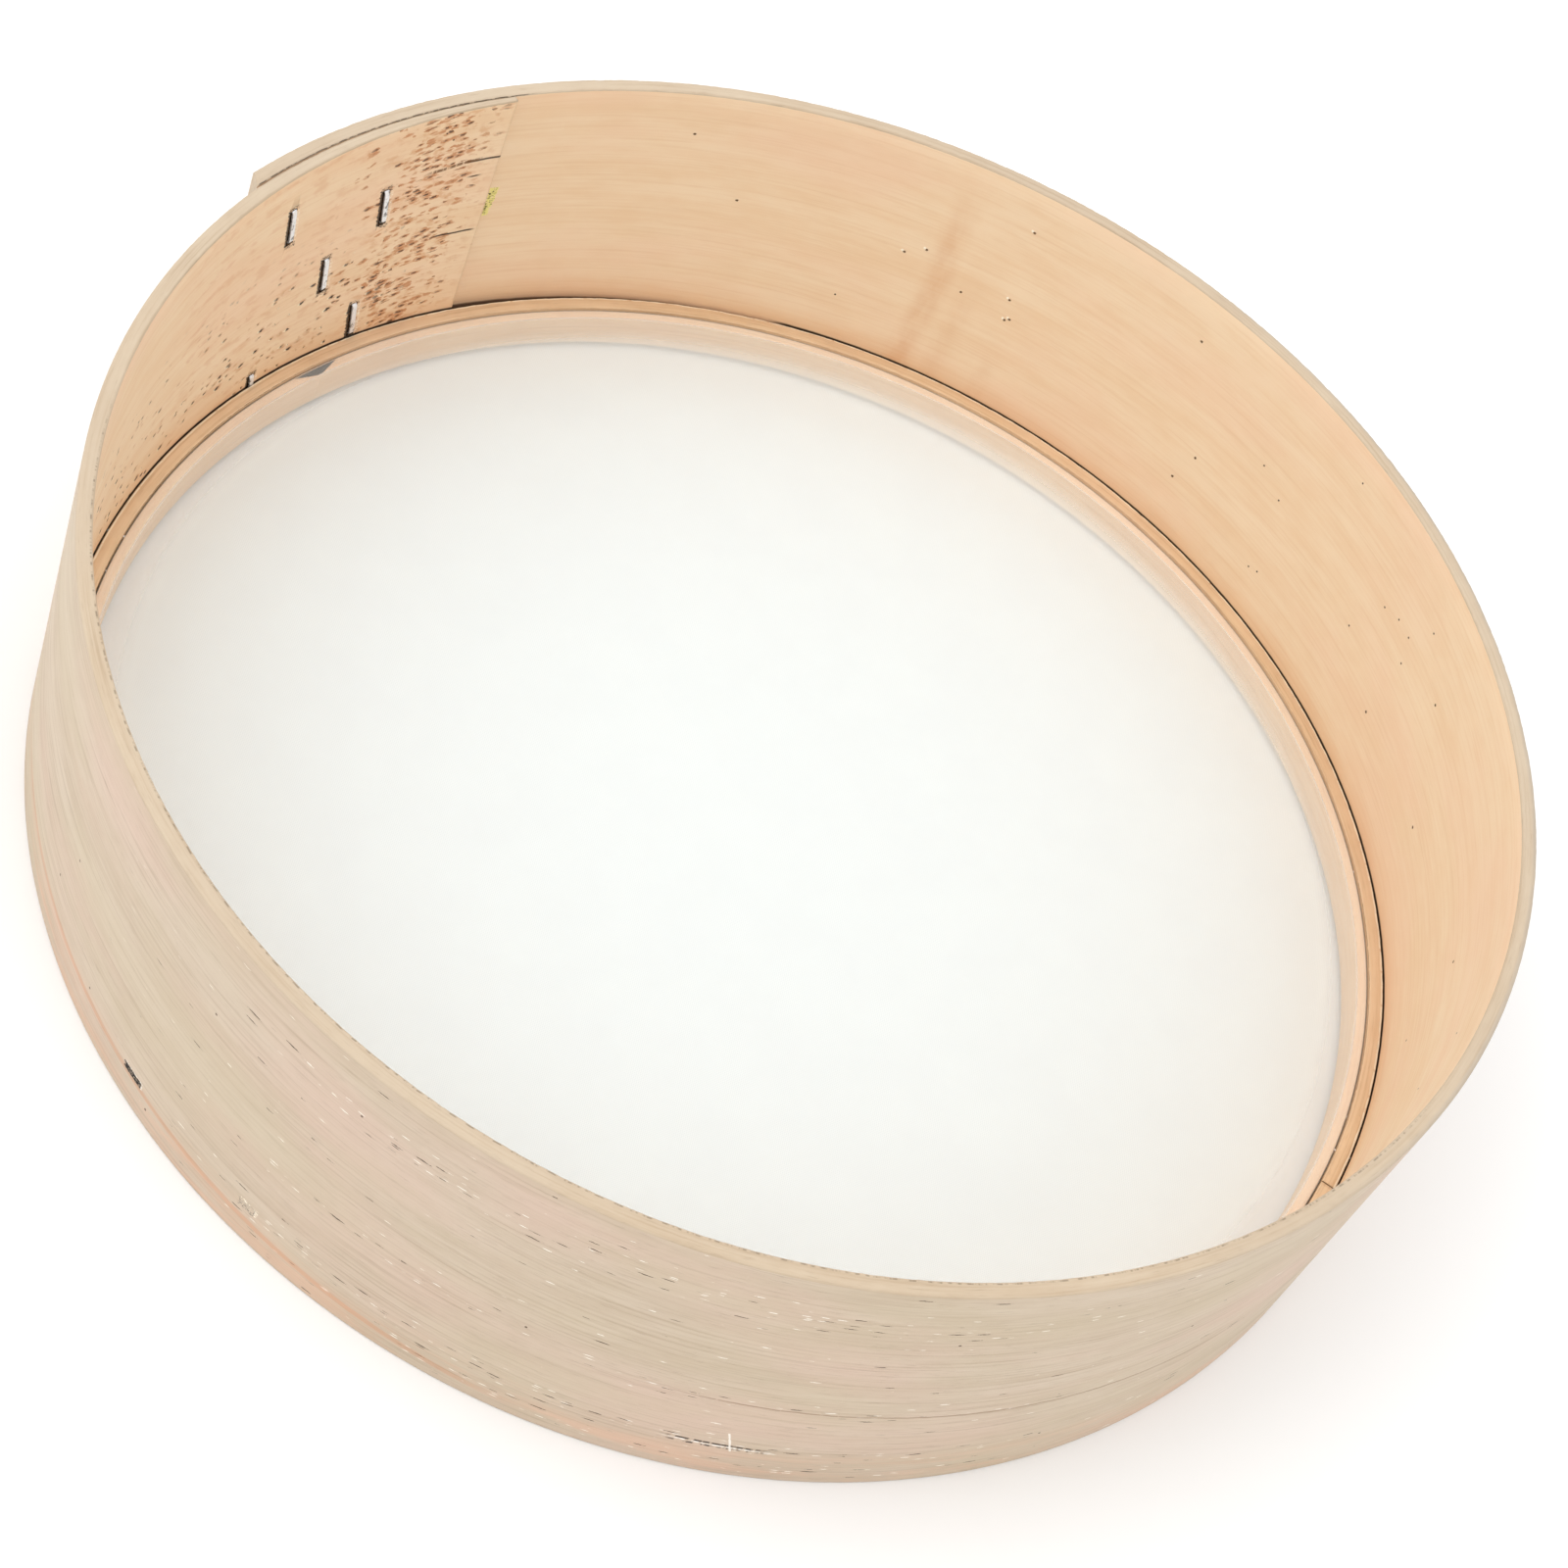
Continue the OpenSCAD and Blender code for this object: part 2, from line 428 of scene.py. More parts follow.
@dataclass(frozen=True, kw_only=True)
class Pins(Mark):
    """Tiny holes or specks at given places: how far along, how far up, and radius."""

    places: tuple[Speck, ...]

    RAGGED = (0.4 * MM, 0.4 * MM)

    def mask(self, surface: Surface) -> Value:
        """1 on each speck, with a ragged edge."""
        board = surface.board
        here = board.vector(surface.along, surface.up)
        ragged = surface.noise(*self.RAGGED, self.layer) * 0.9
        mask: Value = 0.0
        for along, up, radius in self.places:
            off = board.node("ShaderNodeVectorMath", {0: here, 1: (along, up, 0.0)},
                             operation="DISTANCE").outputs[1]
            dot = board.ramp(Term(board, off) / radius + ragged, 1.45, 1.0)
            mask = board.math("MAXIMUM", mask, dot)
        return mask


@dataclass(frozen=True, kw_only=True)
class Line(Mark):
    """A fine line along the grain at one height: a crack, a grain line, a seam, or painted shade
    or a painted highlight along a gap or an edge.
    """

    level: float
    breadth: float
    wander: float = 0.3 * MM
    gaps: float = 0.3
    rise: float = 0.0

    STRAY_LENGTH = 4 * MM
    STRAY_LAYER = 60
    GAP_LENGTH = 1.8 * MM
    GAP_LAYER = 70
    GAP_SOFT = 0.12

    def mask(self, surface: Surface) -> Value:
        """1 along the line, broken where its gaps fall."""
        board = surface.board
        stray = surface.noise(self.STRAY_LENGTH, EVEN, self.layer + self.STRAY_LAYER, 3.0)
        level = surface.up + (stray - 0.5) * (2 * self.wander)
        if self.rise:
            middle = (self.along.low + self.along.high) / 2
            level = level - (surface.along - middle) * self.rise
        line = board.ramp(abs(level - self.level), self.breadth * 0.62, self.breadth * 0.32)
        if not self.gaps:
            return line
        broken = surface.noise(self.GAP_LENGTH, EVEN, self.layer + self.GAP_LAYER, 3.0, 0.6)
        return line * board.ramp(broken, self.gaps, self.gaps + self.GAP_SOFT)


@dataclass(frozen=True, kw_only=True)
class Bruise(Mark):
    """A mark about one or more places, ragged and broken up inside oblongs: crushed wood, and also
    the painted highlight and painted shade beside the lap staples' crowns.

    Lean is how far an oblong goes along for each metre that it goes up.
    """

    places: tuple[tuple[float, float], ...]
    size: tuple[float, float]
    ragged: float = 0.5 * MM
    broken: float = 0.0
    lean: float = 0.0

    STRAY = (0.45 * MM, 0.7 * MM, 50.0)
    BITS = (0.9 * MM, 0.3 * MM, 52.0)
    SOFT = 0.12 * MM
    BITS_SOFT = 0.08

    def mask(self, surface: Surface) -> Value:
        """1 inside the ragged oblongs, where they aren't broken up."""
        board = surface.board
        stray = (surface.noise(*self.STRAY, 3.0, 0.6) - 0.5) * (2 * self.ragged)
        mask: Value = 0.0
        for along, up in self.places:
            lean = (surface.up - up) * self.lean
            inside: Value = 1.0
            for value, middle, size in ((surface.along - lean, along, self.size[0]),
                                        (surface.up, up, self.size[1])):
                off = abs(value - middle) + stray
                inside = inside * board.ramp(off, size / 2 + self.SOFT, size / 2)
            mask = board.math("MAXIMUM", mask, inside)
        if not self.broken:
            return mask
        bits = surface.noise(*self.BITS, 2.0, 0.7)
        return mask * board.ramp(bits, self.broken, self.broken + self.BITS_SOFT)


@dataclass(frozen=True)
class Wood:
    """A bare wood finish: its colours, how strongly its grain shows, and what marks it."""

    name: str
    pale: Colour
    warm: Colour
    dark: Colour
    blush: Colour
    blush_share: float = 0.4
    streak: float = 0.3
    pores: float = 0.25
    relief: float = 0.03 * MM
    roughness: float = 0.62
    specular: float = 0.32
    layer: float = 0.0
    marks: tuple[Mark, ...] = ()

    BANDS = (170 * MM, 11 * MM)
    STREAKS = (38 * MM, 0.75 * MM)
    PORES = (6 * MM, 0.2 * MM)
    PATCHES = (70 * MM, 30 * MM)
    MOTTLE = (14 * MM, 4 * MM)

    def material(self) -> bpy.types.Material:
        """Makes the wood's material, which reads the strip's own map.

        Returns:
            The material.
        """
        material, board = blank_material(self.name)
        strip = board.node("ShaderNodeUVMap", uv_map=STRIP_MAP).outputs[0]
        along, up, _ = board.parts(strip)
        surface = Surface(board, strip, along, up, strip, strip)
        bands = surface.noise(*self.BANDS, self.layer + 1, 3.0)
        streaks = surface.noise(*self.STREAKS, self.layer + 2, 4.0, 0.6)
        fine = surface.noise(*self.PORES, self.layer + 3, 3.0, 0.6)
        patches = surface.noise(*self.PATCHES, self.layer + 4, 3.0)
        mottle = surface.noise(*self.MOTTLE, self.layer + 5, 4.0, 0.6)
        tone = bands * 0.4 + streaks * 0.25 + mottle * 0.35
        colour = board.mix(board.ramp(tone, 0.38, 0.62), self.pale, self.warm)
        blush = board.ramp(patches, 0.42, 0.66) * self.blush_share
        colour = board.mix(blush, colour, self.blush)
        streak = board.ramp(streaks, 0.5, 0.76) * self.streak
        colour = board.mix(streak, colour, self.dark)
        pore = board.ramp(fine, 0.6, 0.74)
        surface.colour = board.mix(pore * self.pores, colour, self.dark)
        surface.height = streaks * self.relief + pore * (-0.7 * self.relief)
        for mark in self.marks:
            mark.lay(surface)
        bump = board.bump(surface.height)
        rough = board.ramp(streaks, 0.3, 0.7, self.roughness - 0.06, self.roughness + 0.08)
        board.shade({"Base Color": surface.colour, "Roughness": rough,
                     "Specular IOR Level": self.specular, "Normal": bump})
        return material


@dataclass(frozen=True)
class CrushedWood:
    """The dark, torn wood inside a staple's slot."""

    name: str = "crushed_wood"
    dark: Colour = (44, 34, 28)
    torn: Colour = (128, 96, 66)
    fineness: float = 2600.0
    roughness: float = 0.9
    specular: float = 0.1

    def material(self) -> bpy.types.Material:
        """Makes the crushed wood's material."""
        material, board = blank_material(self.name)
        place = board.node("ShaderNodeTexCoord").outputs["Object"]
        torn = board.node("ShaderNodeTexNoise", {"Vector": place, "Scale": self.fineness,
                                                 "Detail": 3.0}).outputs[0]
        board.shade({"Base Color": board.mix(board.ramp(torn, 0.45, 0.68), self.dark, self.torn),
                     "Roughness": self.roughness, "Specular IOR Level": self.specular})
        return material


@dataclass(frozen=True)
class Steel:
    """Flat galvanised staple wire, lightly scratched and dulled."""

    name: str = "galvanised_steel"
    bright: Colour = (244, 245, 247)
    dull: Colour = (96, 92, 88)
    metallic: float = 0.45
    relief: float = 0.04 * MM

    def material(self) -> bpy.types.Material:
        """Makes the steel's material.

        Returns:
            The material.
        """
        material, board = blank_material(self.name)
        place = board.node("ShaderNodeTexCoord").outputs["Object"]
        x, y, z = board.parts(place)
        scratch = board.noise_at((x, 2500.0), (y, 2500.0), (z, 500.0), detail=4.0, roughness=0.7)
        blotch = board.noise_at((x, 900.0), (y, 900.0), (z, 700.0), detail=3.0)
        colour = board.mix(board.ramp(blotch, 0.54, 0.66, 0.0, 0.8), self.bright, self.dull)
        rough = board.ramp(scratch, 0.3, 0.7, 0.24, 0.5)
        bump = board.bump(scratch, 0.5, self.relief)
        board.shade({"Base Color": colour, "Metallic": self.metallic, "Roughness": rough,
                     "Normal": bump})
        return material


@dataclass(frozen=True)
class Weave:
    """Very fine white cloth that lets half the light through.

    Where it lies on wood and close by, it clings and the wood shows clearly. Denser cloth along
    the wood's inner edge gives a faint pale line there, a painted highlight of that edge.
    """

    wood_starts: float
    name: str = "woven_mesh"
    thread: Colour = (244, 250, 249)
    hollow: Colour = (234, 239, 240)
    pitch: float = 0.4 * MM
    cover: float = 0.36
    cling: float = 0.15
    edge_highlight: float = 0.27
    relief: float = 0.04 * MM
    roughness: float = 0.5
    specular: float = 0.3
    sheen: float = 0.15

    def material(self) -> bpy.types.Material:
        """Makes the cloth's material, which reads the flat cut's own map.

        Returns:
            The material.
        """
        material, board = blank_material(self.name)
        cut = board.node("ShaderNodeUVMap", uv_map=STRIP_MAP).outputs[0]
        warp, weft, _ = board.parts(cut)

        def thread(across: Term) -> Term:
            """A round thread every pitch across one direction."""
            return board.ramp(board.math("SINE", across * (math.tau / self.pitch)), -0.9, 0.9)

        threads = board.math("MAXIMUM", thread(warp), thread(weft))
        uneven = board.noise_at((warp, 60.0), (weft, 60.0), detail=3.0)
        full = threads * board.ramp(uneven, 0.3, 0.7, 0.75, 1.0)
        colour = board.mix(full, self.hollow, self.thread)
        bump = board.bump(threads, 0.25, self.relief)
        past = board.math("SQRT", warp * warp + weft * weft) - self.wood_starts
        cover = board.ramp(past, -9 * MM, -3 * MM, self.cover, self.cling)
        # Painted highlight: denser white cloth in a narrow band along the wood's inner edge
        at_edge = board.ramp(abs(past), 0.6 * MM, 0.1 * MM)
        cover = board.math("MAXIMUM", cover, at_edge * self.edge_highlight)
        board.shade({"Base Color": colour, "Roughness": self.roughness, "Alpha": cover,
                     "Specular IOR Level": self.specular, "Sheen Weight": self.sheen,
                     "Normal": bump})
        return material


def added(name: str, data: bpy.types.ID) -> bpy.types.Object:
    """Adds an object to the scene, with the mesh, light or camera that it shows."""
    thing = bpy.data.objects.new(name, data)
    bpy.context.scene.collection.objects.link(thing)
    return thing


class Face(Enum):
    """The sides of a plank, in the order of its material slots."""

    INNER = 0
    OUTER = 1
    EDGE = 2


@dataclass(frozen=True)
class Plank:
    """A flat strip of wood: its length runs along X, its thickness along Y and its height up Z.

    Lean_start and lean_end slant its two ends: how far the outer face's end lies behind the
    inner face's. Rows is how many rows of faces each wide side has.
    """

    length: float
    thickness: float
    height: float
    edge: float
    stations: int
    rows: int
    lean_start: float = 0.0
    lean_end: float = 0.0
    lean_reach: float = 12 * MM

    CORNER_STEPS = 3

    def outline(self) -> tuple[np.ndarray, list[Face], list[tuple[float, float]]]:
        """The plank's cross-section, from the foot of its inner face up, over and down again.

        Returns:
            The outline's points as thickness and height, and for each step from one point to
            the next its side of the plank and its two map heights.
        """
        t, h, e = self.thickness, self.height, self.edge
        points: list[tuple[float, float]] = []
        sides: list[Face] = []
        heights: list[tuple[float, float]] = []

        def step_to(point: tuple[float, float], side: Face, low: float, high: float) -> None:
            """Adds a point and the step that led to it."""
            points.append(point)
            sides.append(side)
            heights.append((low, high))

        def corner(y: float, z: float, start: float, travelled: float) -> float:
            """Rounds one corner about (y, z) and returns the distance travelled."""
            part = math.pi / 2 / self.CORNER_STEPS
            for i in range(1, self.CORNER_STEPS + 1):
                angle = start - i * part
                step_to((y + e * math.cos(angle), z + e * math.sin(angle)), Face.EDGE,
                        travelled, travelled + e * part)
                travelled += e * part
            return travelled

        for i in range(1, self.rows + 1):
            z0, z1 = (e + (h - 2 * e) * k / self.rows for k in (i - 1, i))
            step_to((0.0, z1), Face.INNER, z0, z1)
        run = corner(e, h - e, math.pi, h)
        step_to((t - e, h), Face.EDGE, run, run + t - 2 * e)
        corner(t - e, h - e, math.pi / 2, run + t - 2 * e)
        for i in range(1, self.rows + 1):
            z0, z1 = (h - e - (h - 2 * e) * k / self.rows for k in (i - 1, i))
            step_to((t, z1), Face.OUTER, z0, z1)
        run = corner(t - e, e, 0.0, -t)
        step_to((e, 0.0), Face.EDGE, run, run + t - 2 * e)
        corner(e, e, -math.pi / 2, run + t - 2 * e)
        return np.array(points), sides, heights

    def build(self, name: str, materials: Sequence[bpy.types.Material]) -> bpy.types.Object:
        """Makes the flat plank, with its map and its side of the plank on every face.

        Args:
            name: The new object's name.
            materials: The inner face's, the outer face's and the edges' materials.

        Returns:
            The plank's object.
        """
        outline, sides, heights = self.outline()
        count, around = self.stations + 1, len(outline)
        along = np.linspace(0.0, self.length, count)
        share = outline[:, 0] / self.thickness
        ease_in = np.clip(1 - along / self.lean_reach, 0, 1)
        ease_out = np.clip(1 - (self.length - along) / self.lean_reach, 0, 1)
        x = along[:, None] + np.outer(ease_in ** 2, share) * self.lean_start
        x = x - np.outer(ease_out ** 2, share) * self.lean_end
        verts = np.stack([x, np.broadcast_to(outline[:, 0], x.shape),
                          np.broadcast_to(outline[:, 1], x.shape)], axis=-1).reshape(-1, 3)
        i, j = np.meshgrid(np.arange(self.stations), np.arange(around), indexing="ij")
        before = (j - 1) % around
        quads = np.stack([i * around + before, (i + 1) * around + before,
                          (i + 1) * around + j, i * around + j], axis=-1).reshape(-1, 4)
        caps = [list(range(around)), [self.stations * around + k for k in reversed(range(around))]]
        mesh = bpy.data.meshes.new(name)
        mesh.from_pydata(verts.tolist(), [], quads.tolist() + caps)
        low = np.array([pair[0] for pair in heights])
        high = np.array([pair[1] for pair in heights])
        u = x.reshape(-1)[quads]
        v = np.tile(np.stack([low, low, high, high], axis=-1), (self.stations, 1))
        cap_uv = np.concatenate([np.stack([verts[c, 1], verts[c, 2]], -1) for c in caps])
        uv = np.concatenate([np.stack([u, v], -1).reshape(-1, 2), cap_uv])
        layer = mesh.uv_layers.new(name=STRIP_MAP)
        layer.data.foreach_set("uv", uv.astype(np.float32).ravel())
        for material in materials:
            mesh.materials.append(material)
        slots = np.tile([side.value for side in sides], self.stations).tolist()
        mesh.polygons.foreach_set("material_index", slots + [Face.EDGE.value] * len(caps))
        smooth = [True] * len(quads) + [False] * len(caps)
        mesh.polygons.foreach_set("use_smooth", smooth)
        mesh.update()
        mesh.validate()
        return added(name, mesh)


class GeometryTree:
    """One geometry node tree with named inputs, which a modifier then takes its sizes from."""

    def __init__(self, name: str, inputs: dict[str, float]) -> None:
        """Makes an empty tree.

        Args:
            name: The tree's name.
            inputs: The names of its inputs and their values.
        """
        self.tree = bpy.data.node_groups.new(name, "GeometryNodeTree")
        self.values = inputs
        self.board = Board(self.tree)
        make = self.tree.interface.new_socket
        make("Geometry", in_out="INPUT", socket_type="NodeSocketGeometry")
        make("Geometry", in_out="OUTPUT", socket_type="NodeSocketGeometry")
        self.ids = {key: make(key, in_out="INPUT", socket_type="NodeSocketFloat").identifier
                    for key in inputs}
        self.entry = self.board.node("NodeGroupInput")
        self.exit = self.board.node("NodeGroupOutput")
        position = self.board.node("GeometryNodeInputPosition").outputs[0]
        self.point = self.board.parts(position)

    def size(self, name: str) -> Term:
        """The value of one named input."""
        return Term(self.board, self.entry.outputs[name])

    def finish(self, place: Socket, materials: Sequence[bpy.types.Material]) -> None:
        """Ends the tree: points in their places, and a material on each side of the piece.

        Args:
            place: Where each point goes.
            materials: One material for each material slot number.
        """
        board = self.board
        moved = board.node("GeometryNodeSetPosition", {"Geometry": self.entry.outputs[0],
                                                       "Position": place}).outputs[0]
        geometry = board.node("GeometryNodeRealizeInstances", {0: moved}).outputs[0]
        number = board.node("GeometryNodeInputMaterialIndex").outputs[0]
        for i, material in enumerate(materials):
            side = board.node("FunctionNodeCompare", {2: number, 3: i}, data_type="INT",
                              operation="EQUAL").outputs[0]
            inputs = {"Geometry": geometry, "Selection": side, "Material": material}
            geometry = board.node("GeometryNodeSetMaterial", inputs).outputs[0]
        self.tree.links.new(geometry, self.exit.inputs[0])

    def apply(self, piece: bpy.types.Object) -> bpy.types.Object:
        """Runs the tree on a piece and turns the result into a plain mesh.

        Args:
            piece: The object that the tree works on.

        Returns:
            The same object, with a plain mesh and no modifier.
        """
        modifier = piece.modifiers.new(self.tree.name, "NODES")
        modifier.node_group = self.tree
        for name, value in self.values.items():
            modifier[self.ids[name]] = float(value)
        return baked(piece)


def baked(piece: bpy.types.Object) -> bpy.types.Object:
    """Turns a piece and its modifiers into a plain mesh.

    Args:
        piece: The object to flatten.

    Returns:
        The same object, with a plain mesh and no modifier.
    """
    graph = bpy.context.evaluated_depsgraph_get()
    plain = bpy.data.meshes.new_from_object(piece.evaluated_get(graph),
                                            preserve_all_data_layers=True, depsgraph=graph)
    piece.modifiers.clear()
    piece.data = plain
    plain.name = piece.name
    return piece


@dataclass(frozen=True)
class LapRule:
    """How the hoop's strip runs: round a circle, then easing outwards to lap over its own start.

    It is the frame's rule: the easing part is a wider arc, tangent to the circle. Bearing is
    where the strip's inner end lies, and ease is how far before it the easing begins.
    """

    radius: float
    height: float
    thickness: float = 3.2 * MM
    bearing: float = 130.0
    ease: float = 50.0
    lap: float = 70 * MM
    gap: float = 0.25 * MM

    @property
    def turn(self) -> float:
        """How far round the lap goes past the strip's inner end, in degrees."""
        return math.degrees(self.lap / self.radius)

    @property
    def length(self) -> float:
        """The strip's length, measured on the hoop's outer circle."""
        return math.radians(360 + self.turn) * self.radius

    def along(self, bearing: float) -> float:
        """How far along the strip a bearing lies, on the turn where the strip shows inside."""
        return math.radians((bearing - self.bearing) % 360) * self.radius

    def span(self, first: float, last: float, soft: float) -> Span:
        """The stretch of strip between two bearings, with soft ends given in millimetres."""
        return Span(self.along(first), self.along(last), soft * MM)

    def pins(self, radius: float, *places: tuple[float, float]) -> tuple[Speck, ...]:
        """Specks of one radius, each at a bearing and at a height in millimetres."""
        return tuple((self.along(bearing), height * MM, radius) for bearing, height in places)

    def bend(self, plank: bpy.types.Object, waviness: float, rim: float,
             materials: Sequence[bpy.types.Material]) -> bpy.types.Object:
        """Bends a flat plank round the rule.

        Args:
            plank: The flat plank, whose inner end is at X 0.
            waviness: How far the wood strays inwards from its true round.
            rim: How far the rim's edge wears down in places.
            materials: The inner face's, the outer face's and the edges' materials.

        Returns:
            The bent strip, a plain mesh.
        """
        tree = GeometryTree("bend_hoop", {
            "Radius": self.radius, "Thickness": self.thickness, "Height": self.height,
            "Lap bearing": math.radians(self.bearing), "Ease": math.radians(self.ease),
            "Turn": math.radians(self.turn), "Gap": self.gap, "Waviness": waviness,
            "Rim wear": rim,
        })
        board, size = tree.board, tree.size
        x, y, z = tree.point
        share = y / size("Thickness")
        inner = size("Radius") - size("Thickness")
        layer = size("Radius") + size("Gap")
        full = board.math("COSINE", size("Ease") + size("Turn"))
        shift = (layer * layer - inner * inner) / (2.0 * (inner - layer * full))

        def eased(radius: Term, turn: Term) -> Term:
            """Distance from the hoop's centre of the easing arc of a radius, at a turn."""
            side = shift * board.math("SINE", turn)
            root = board.math("SQRT", radius * radius - side * side)
            return root - shift * board.math("COSINE", turn)

        def choose(test: Term, no: Term, yes: Term) -> Term:
            """One of two values."""
            switch = board.node("GeometryNodeSwitch", {0: test, 1: no, 2: yes},
                                input_type="FLOAT")
            return Term(board, switch.outputs[0])

        travel = x / size("Radius")
        start_turn = travel + size("Ease")
        end_turn = start_turn - math.tau
        ease_inner = inner + shift
        under = board.math("LESS_THAN", travel, size("Turn"))
        outside = board.math("GREATER_THAN", end_turn, 0.0)
        r_inner = choose(outside, inner, eased(ease_inner, end_turn))
        thinned = eased(ease_inner, start_turn) - size("Gap")
        r_outer = choose(under, size("Radius"), thinned)
        r_outer = choose(outside, r_outer, eased(ease_inner + size("Thickness"), end_turn))
        wave = (board.noise_at((x, 18.0), (z, 14.0)) - 1.0) * size("Waviness")
        radius = r_inner + share * (r_outer - r_inner) + wave
        worn = board.noise_at((x, 420.0), (y, 700.0), detail=3.0, roughness=0.7)
        worn = board.ramp(worn, 0.35, 0.75) * size("Rim wear")
        near_rim = board.ramp(size("Height") - z, 1.0 * MM, 0.0)
        z = z - worn * near_rim
        bearing = travel + size("Lap bearing")
        tree.finish(board.polar(radius, bearing, z), materials)
        return tree.apply(plank)


@dataclass(frozen=True)
class RingRule:
    """How a narrow ring runs: once round, from one face of its joint to the other."""

    radius: float
    bottom: float
    first_bearing: float

    def bend(self, plank: bpy.types.Object, name: str, wear: float,
             materials: Sequence[bpy.types.Material]) -> bpy.types.Object:
        """Bends a flat plank into the ring.

        Args:
            plank: The flat plank, whose inner face lies on the ring's inner radius.
            name: The node tree's name.
            wear: How far the top edge wears down in places.
            materials: The inner face's, the outer face's and the edges' materials.

        Returns:
            The bent ring, a plain mesh.
        """
        tree = GeometryTree(name, {
            "Radius": self.radius, "Bottom": self.bottom,
            "First bearing": math.radians(self.first_bearing), "Top wear": wear,
        })
        board, size = tree.board, tree.size
        x, y, z = tree.point
        bearing = x / size("Radius") + size("First bearing")
        radius = y + size("Radius")
        worn = board.noise_at((x, 380.0), (y, 900.0), detail=3.0, roughness=0.7)
        worn = board.ramp(worn, 0.3, 0.75) * size("Top wear")
        near_top = board.ramp(z, 5 * MM, 8 * MM)
        z = z + size("Bottom") - worn * near_top
        tree.finish(board.polar(radius, bearing, z), materials)
        return tree.apply(plank)


@dataclass
class StaplePlace:
    """Where one staple's crown lies: its bearing and height, and what else is read of it.

    An upright staple has its crown's width and lean, and a level one how far out it lies.
    """

    bearing: float
    height: float
    crown: float = 0.0
    lean: float = 0.0
    radius: float = 0.0


def upright_staple(node: str) -> StaplePlace:
    """Reads an upright staple's place from the frame.

    Args:
        node: The staple's node.

    Returns:
        The place of its crown.
    """
    verts = np.array([v.co for v in frame["nodes"][node].data.vertices])
    reach = np.hypot(verts[:, 0], verts[:, 1])
    crown = verts[reach < reach.min() + 0.4 * MM]
    middle = crown.mean(0)
    bearing = math.atan2(middle[1], middle[0])
    sideways = crown[:, 1] * math.cos(bearing) - crown[:, 0] * math.sin(bearing)
    lean = math.atan(float(np.polyfit(crown[:, 2], sideways, 1)[0]))
    width = float(np.ptp(verts[:, 2]))
    return StaplePlace(math.degrees(bearing), width / 2 + float(verts[:, 2].min()), width, lean)


def level_staples(node: str) -> list[StaplePlace]:
    """Reads where each level staple of a group lies.

    Args:
        node: The group's node.

    Returns:
        The place of each crown, in the order of their bearings.
    """
    verts = np.array([v.co for v in frame["nodes"][node].data.vertices])
    bearing = np.degrees(np.arctan2(verts[:, 1], verts[:, 0])) % 360
    order = np.argsort(bearing)
    breaks = np.nonzero(np.diff(bearing[order]) > 3)[0] + 1
    places = []
    for group in np.split(order, breaks):
        middle = float(bearing[group].min() + bearing[group].max()) / 2
        reach = float(np.hypot(verts[group, 0], verts[group, 1]).max())
        places.append(StaplePlace(middle, float(verts[group, 2].mean()), radius=reach))
    return places


def dress(piece: bpy.types.Object, slot: str, *nodes: str) -> bpy.types.Object:
    """Hands a finished piece to the frame.

    Args:
        piece: The finished piece.
        slot: The record's material slot for the piece; not used.
        *nodes: The frame's nodes that it stands for.

    Returns:
        The same piece.
    """
    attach(piece, BODY)
    if nodes:
        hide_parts(*nodes)
    LOG.info("%s: %d faces", piece.name, len(piece.data.polygons))
    return piece


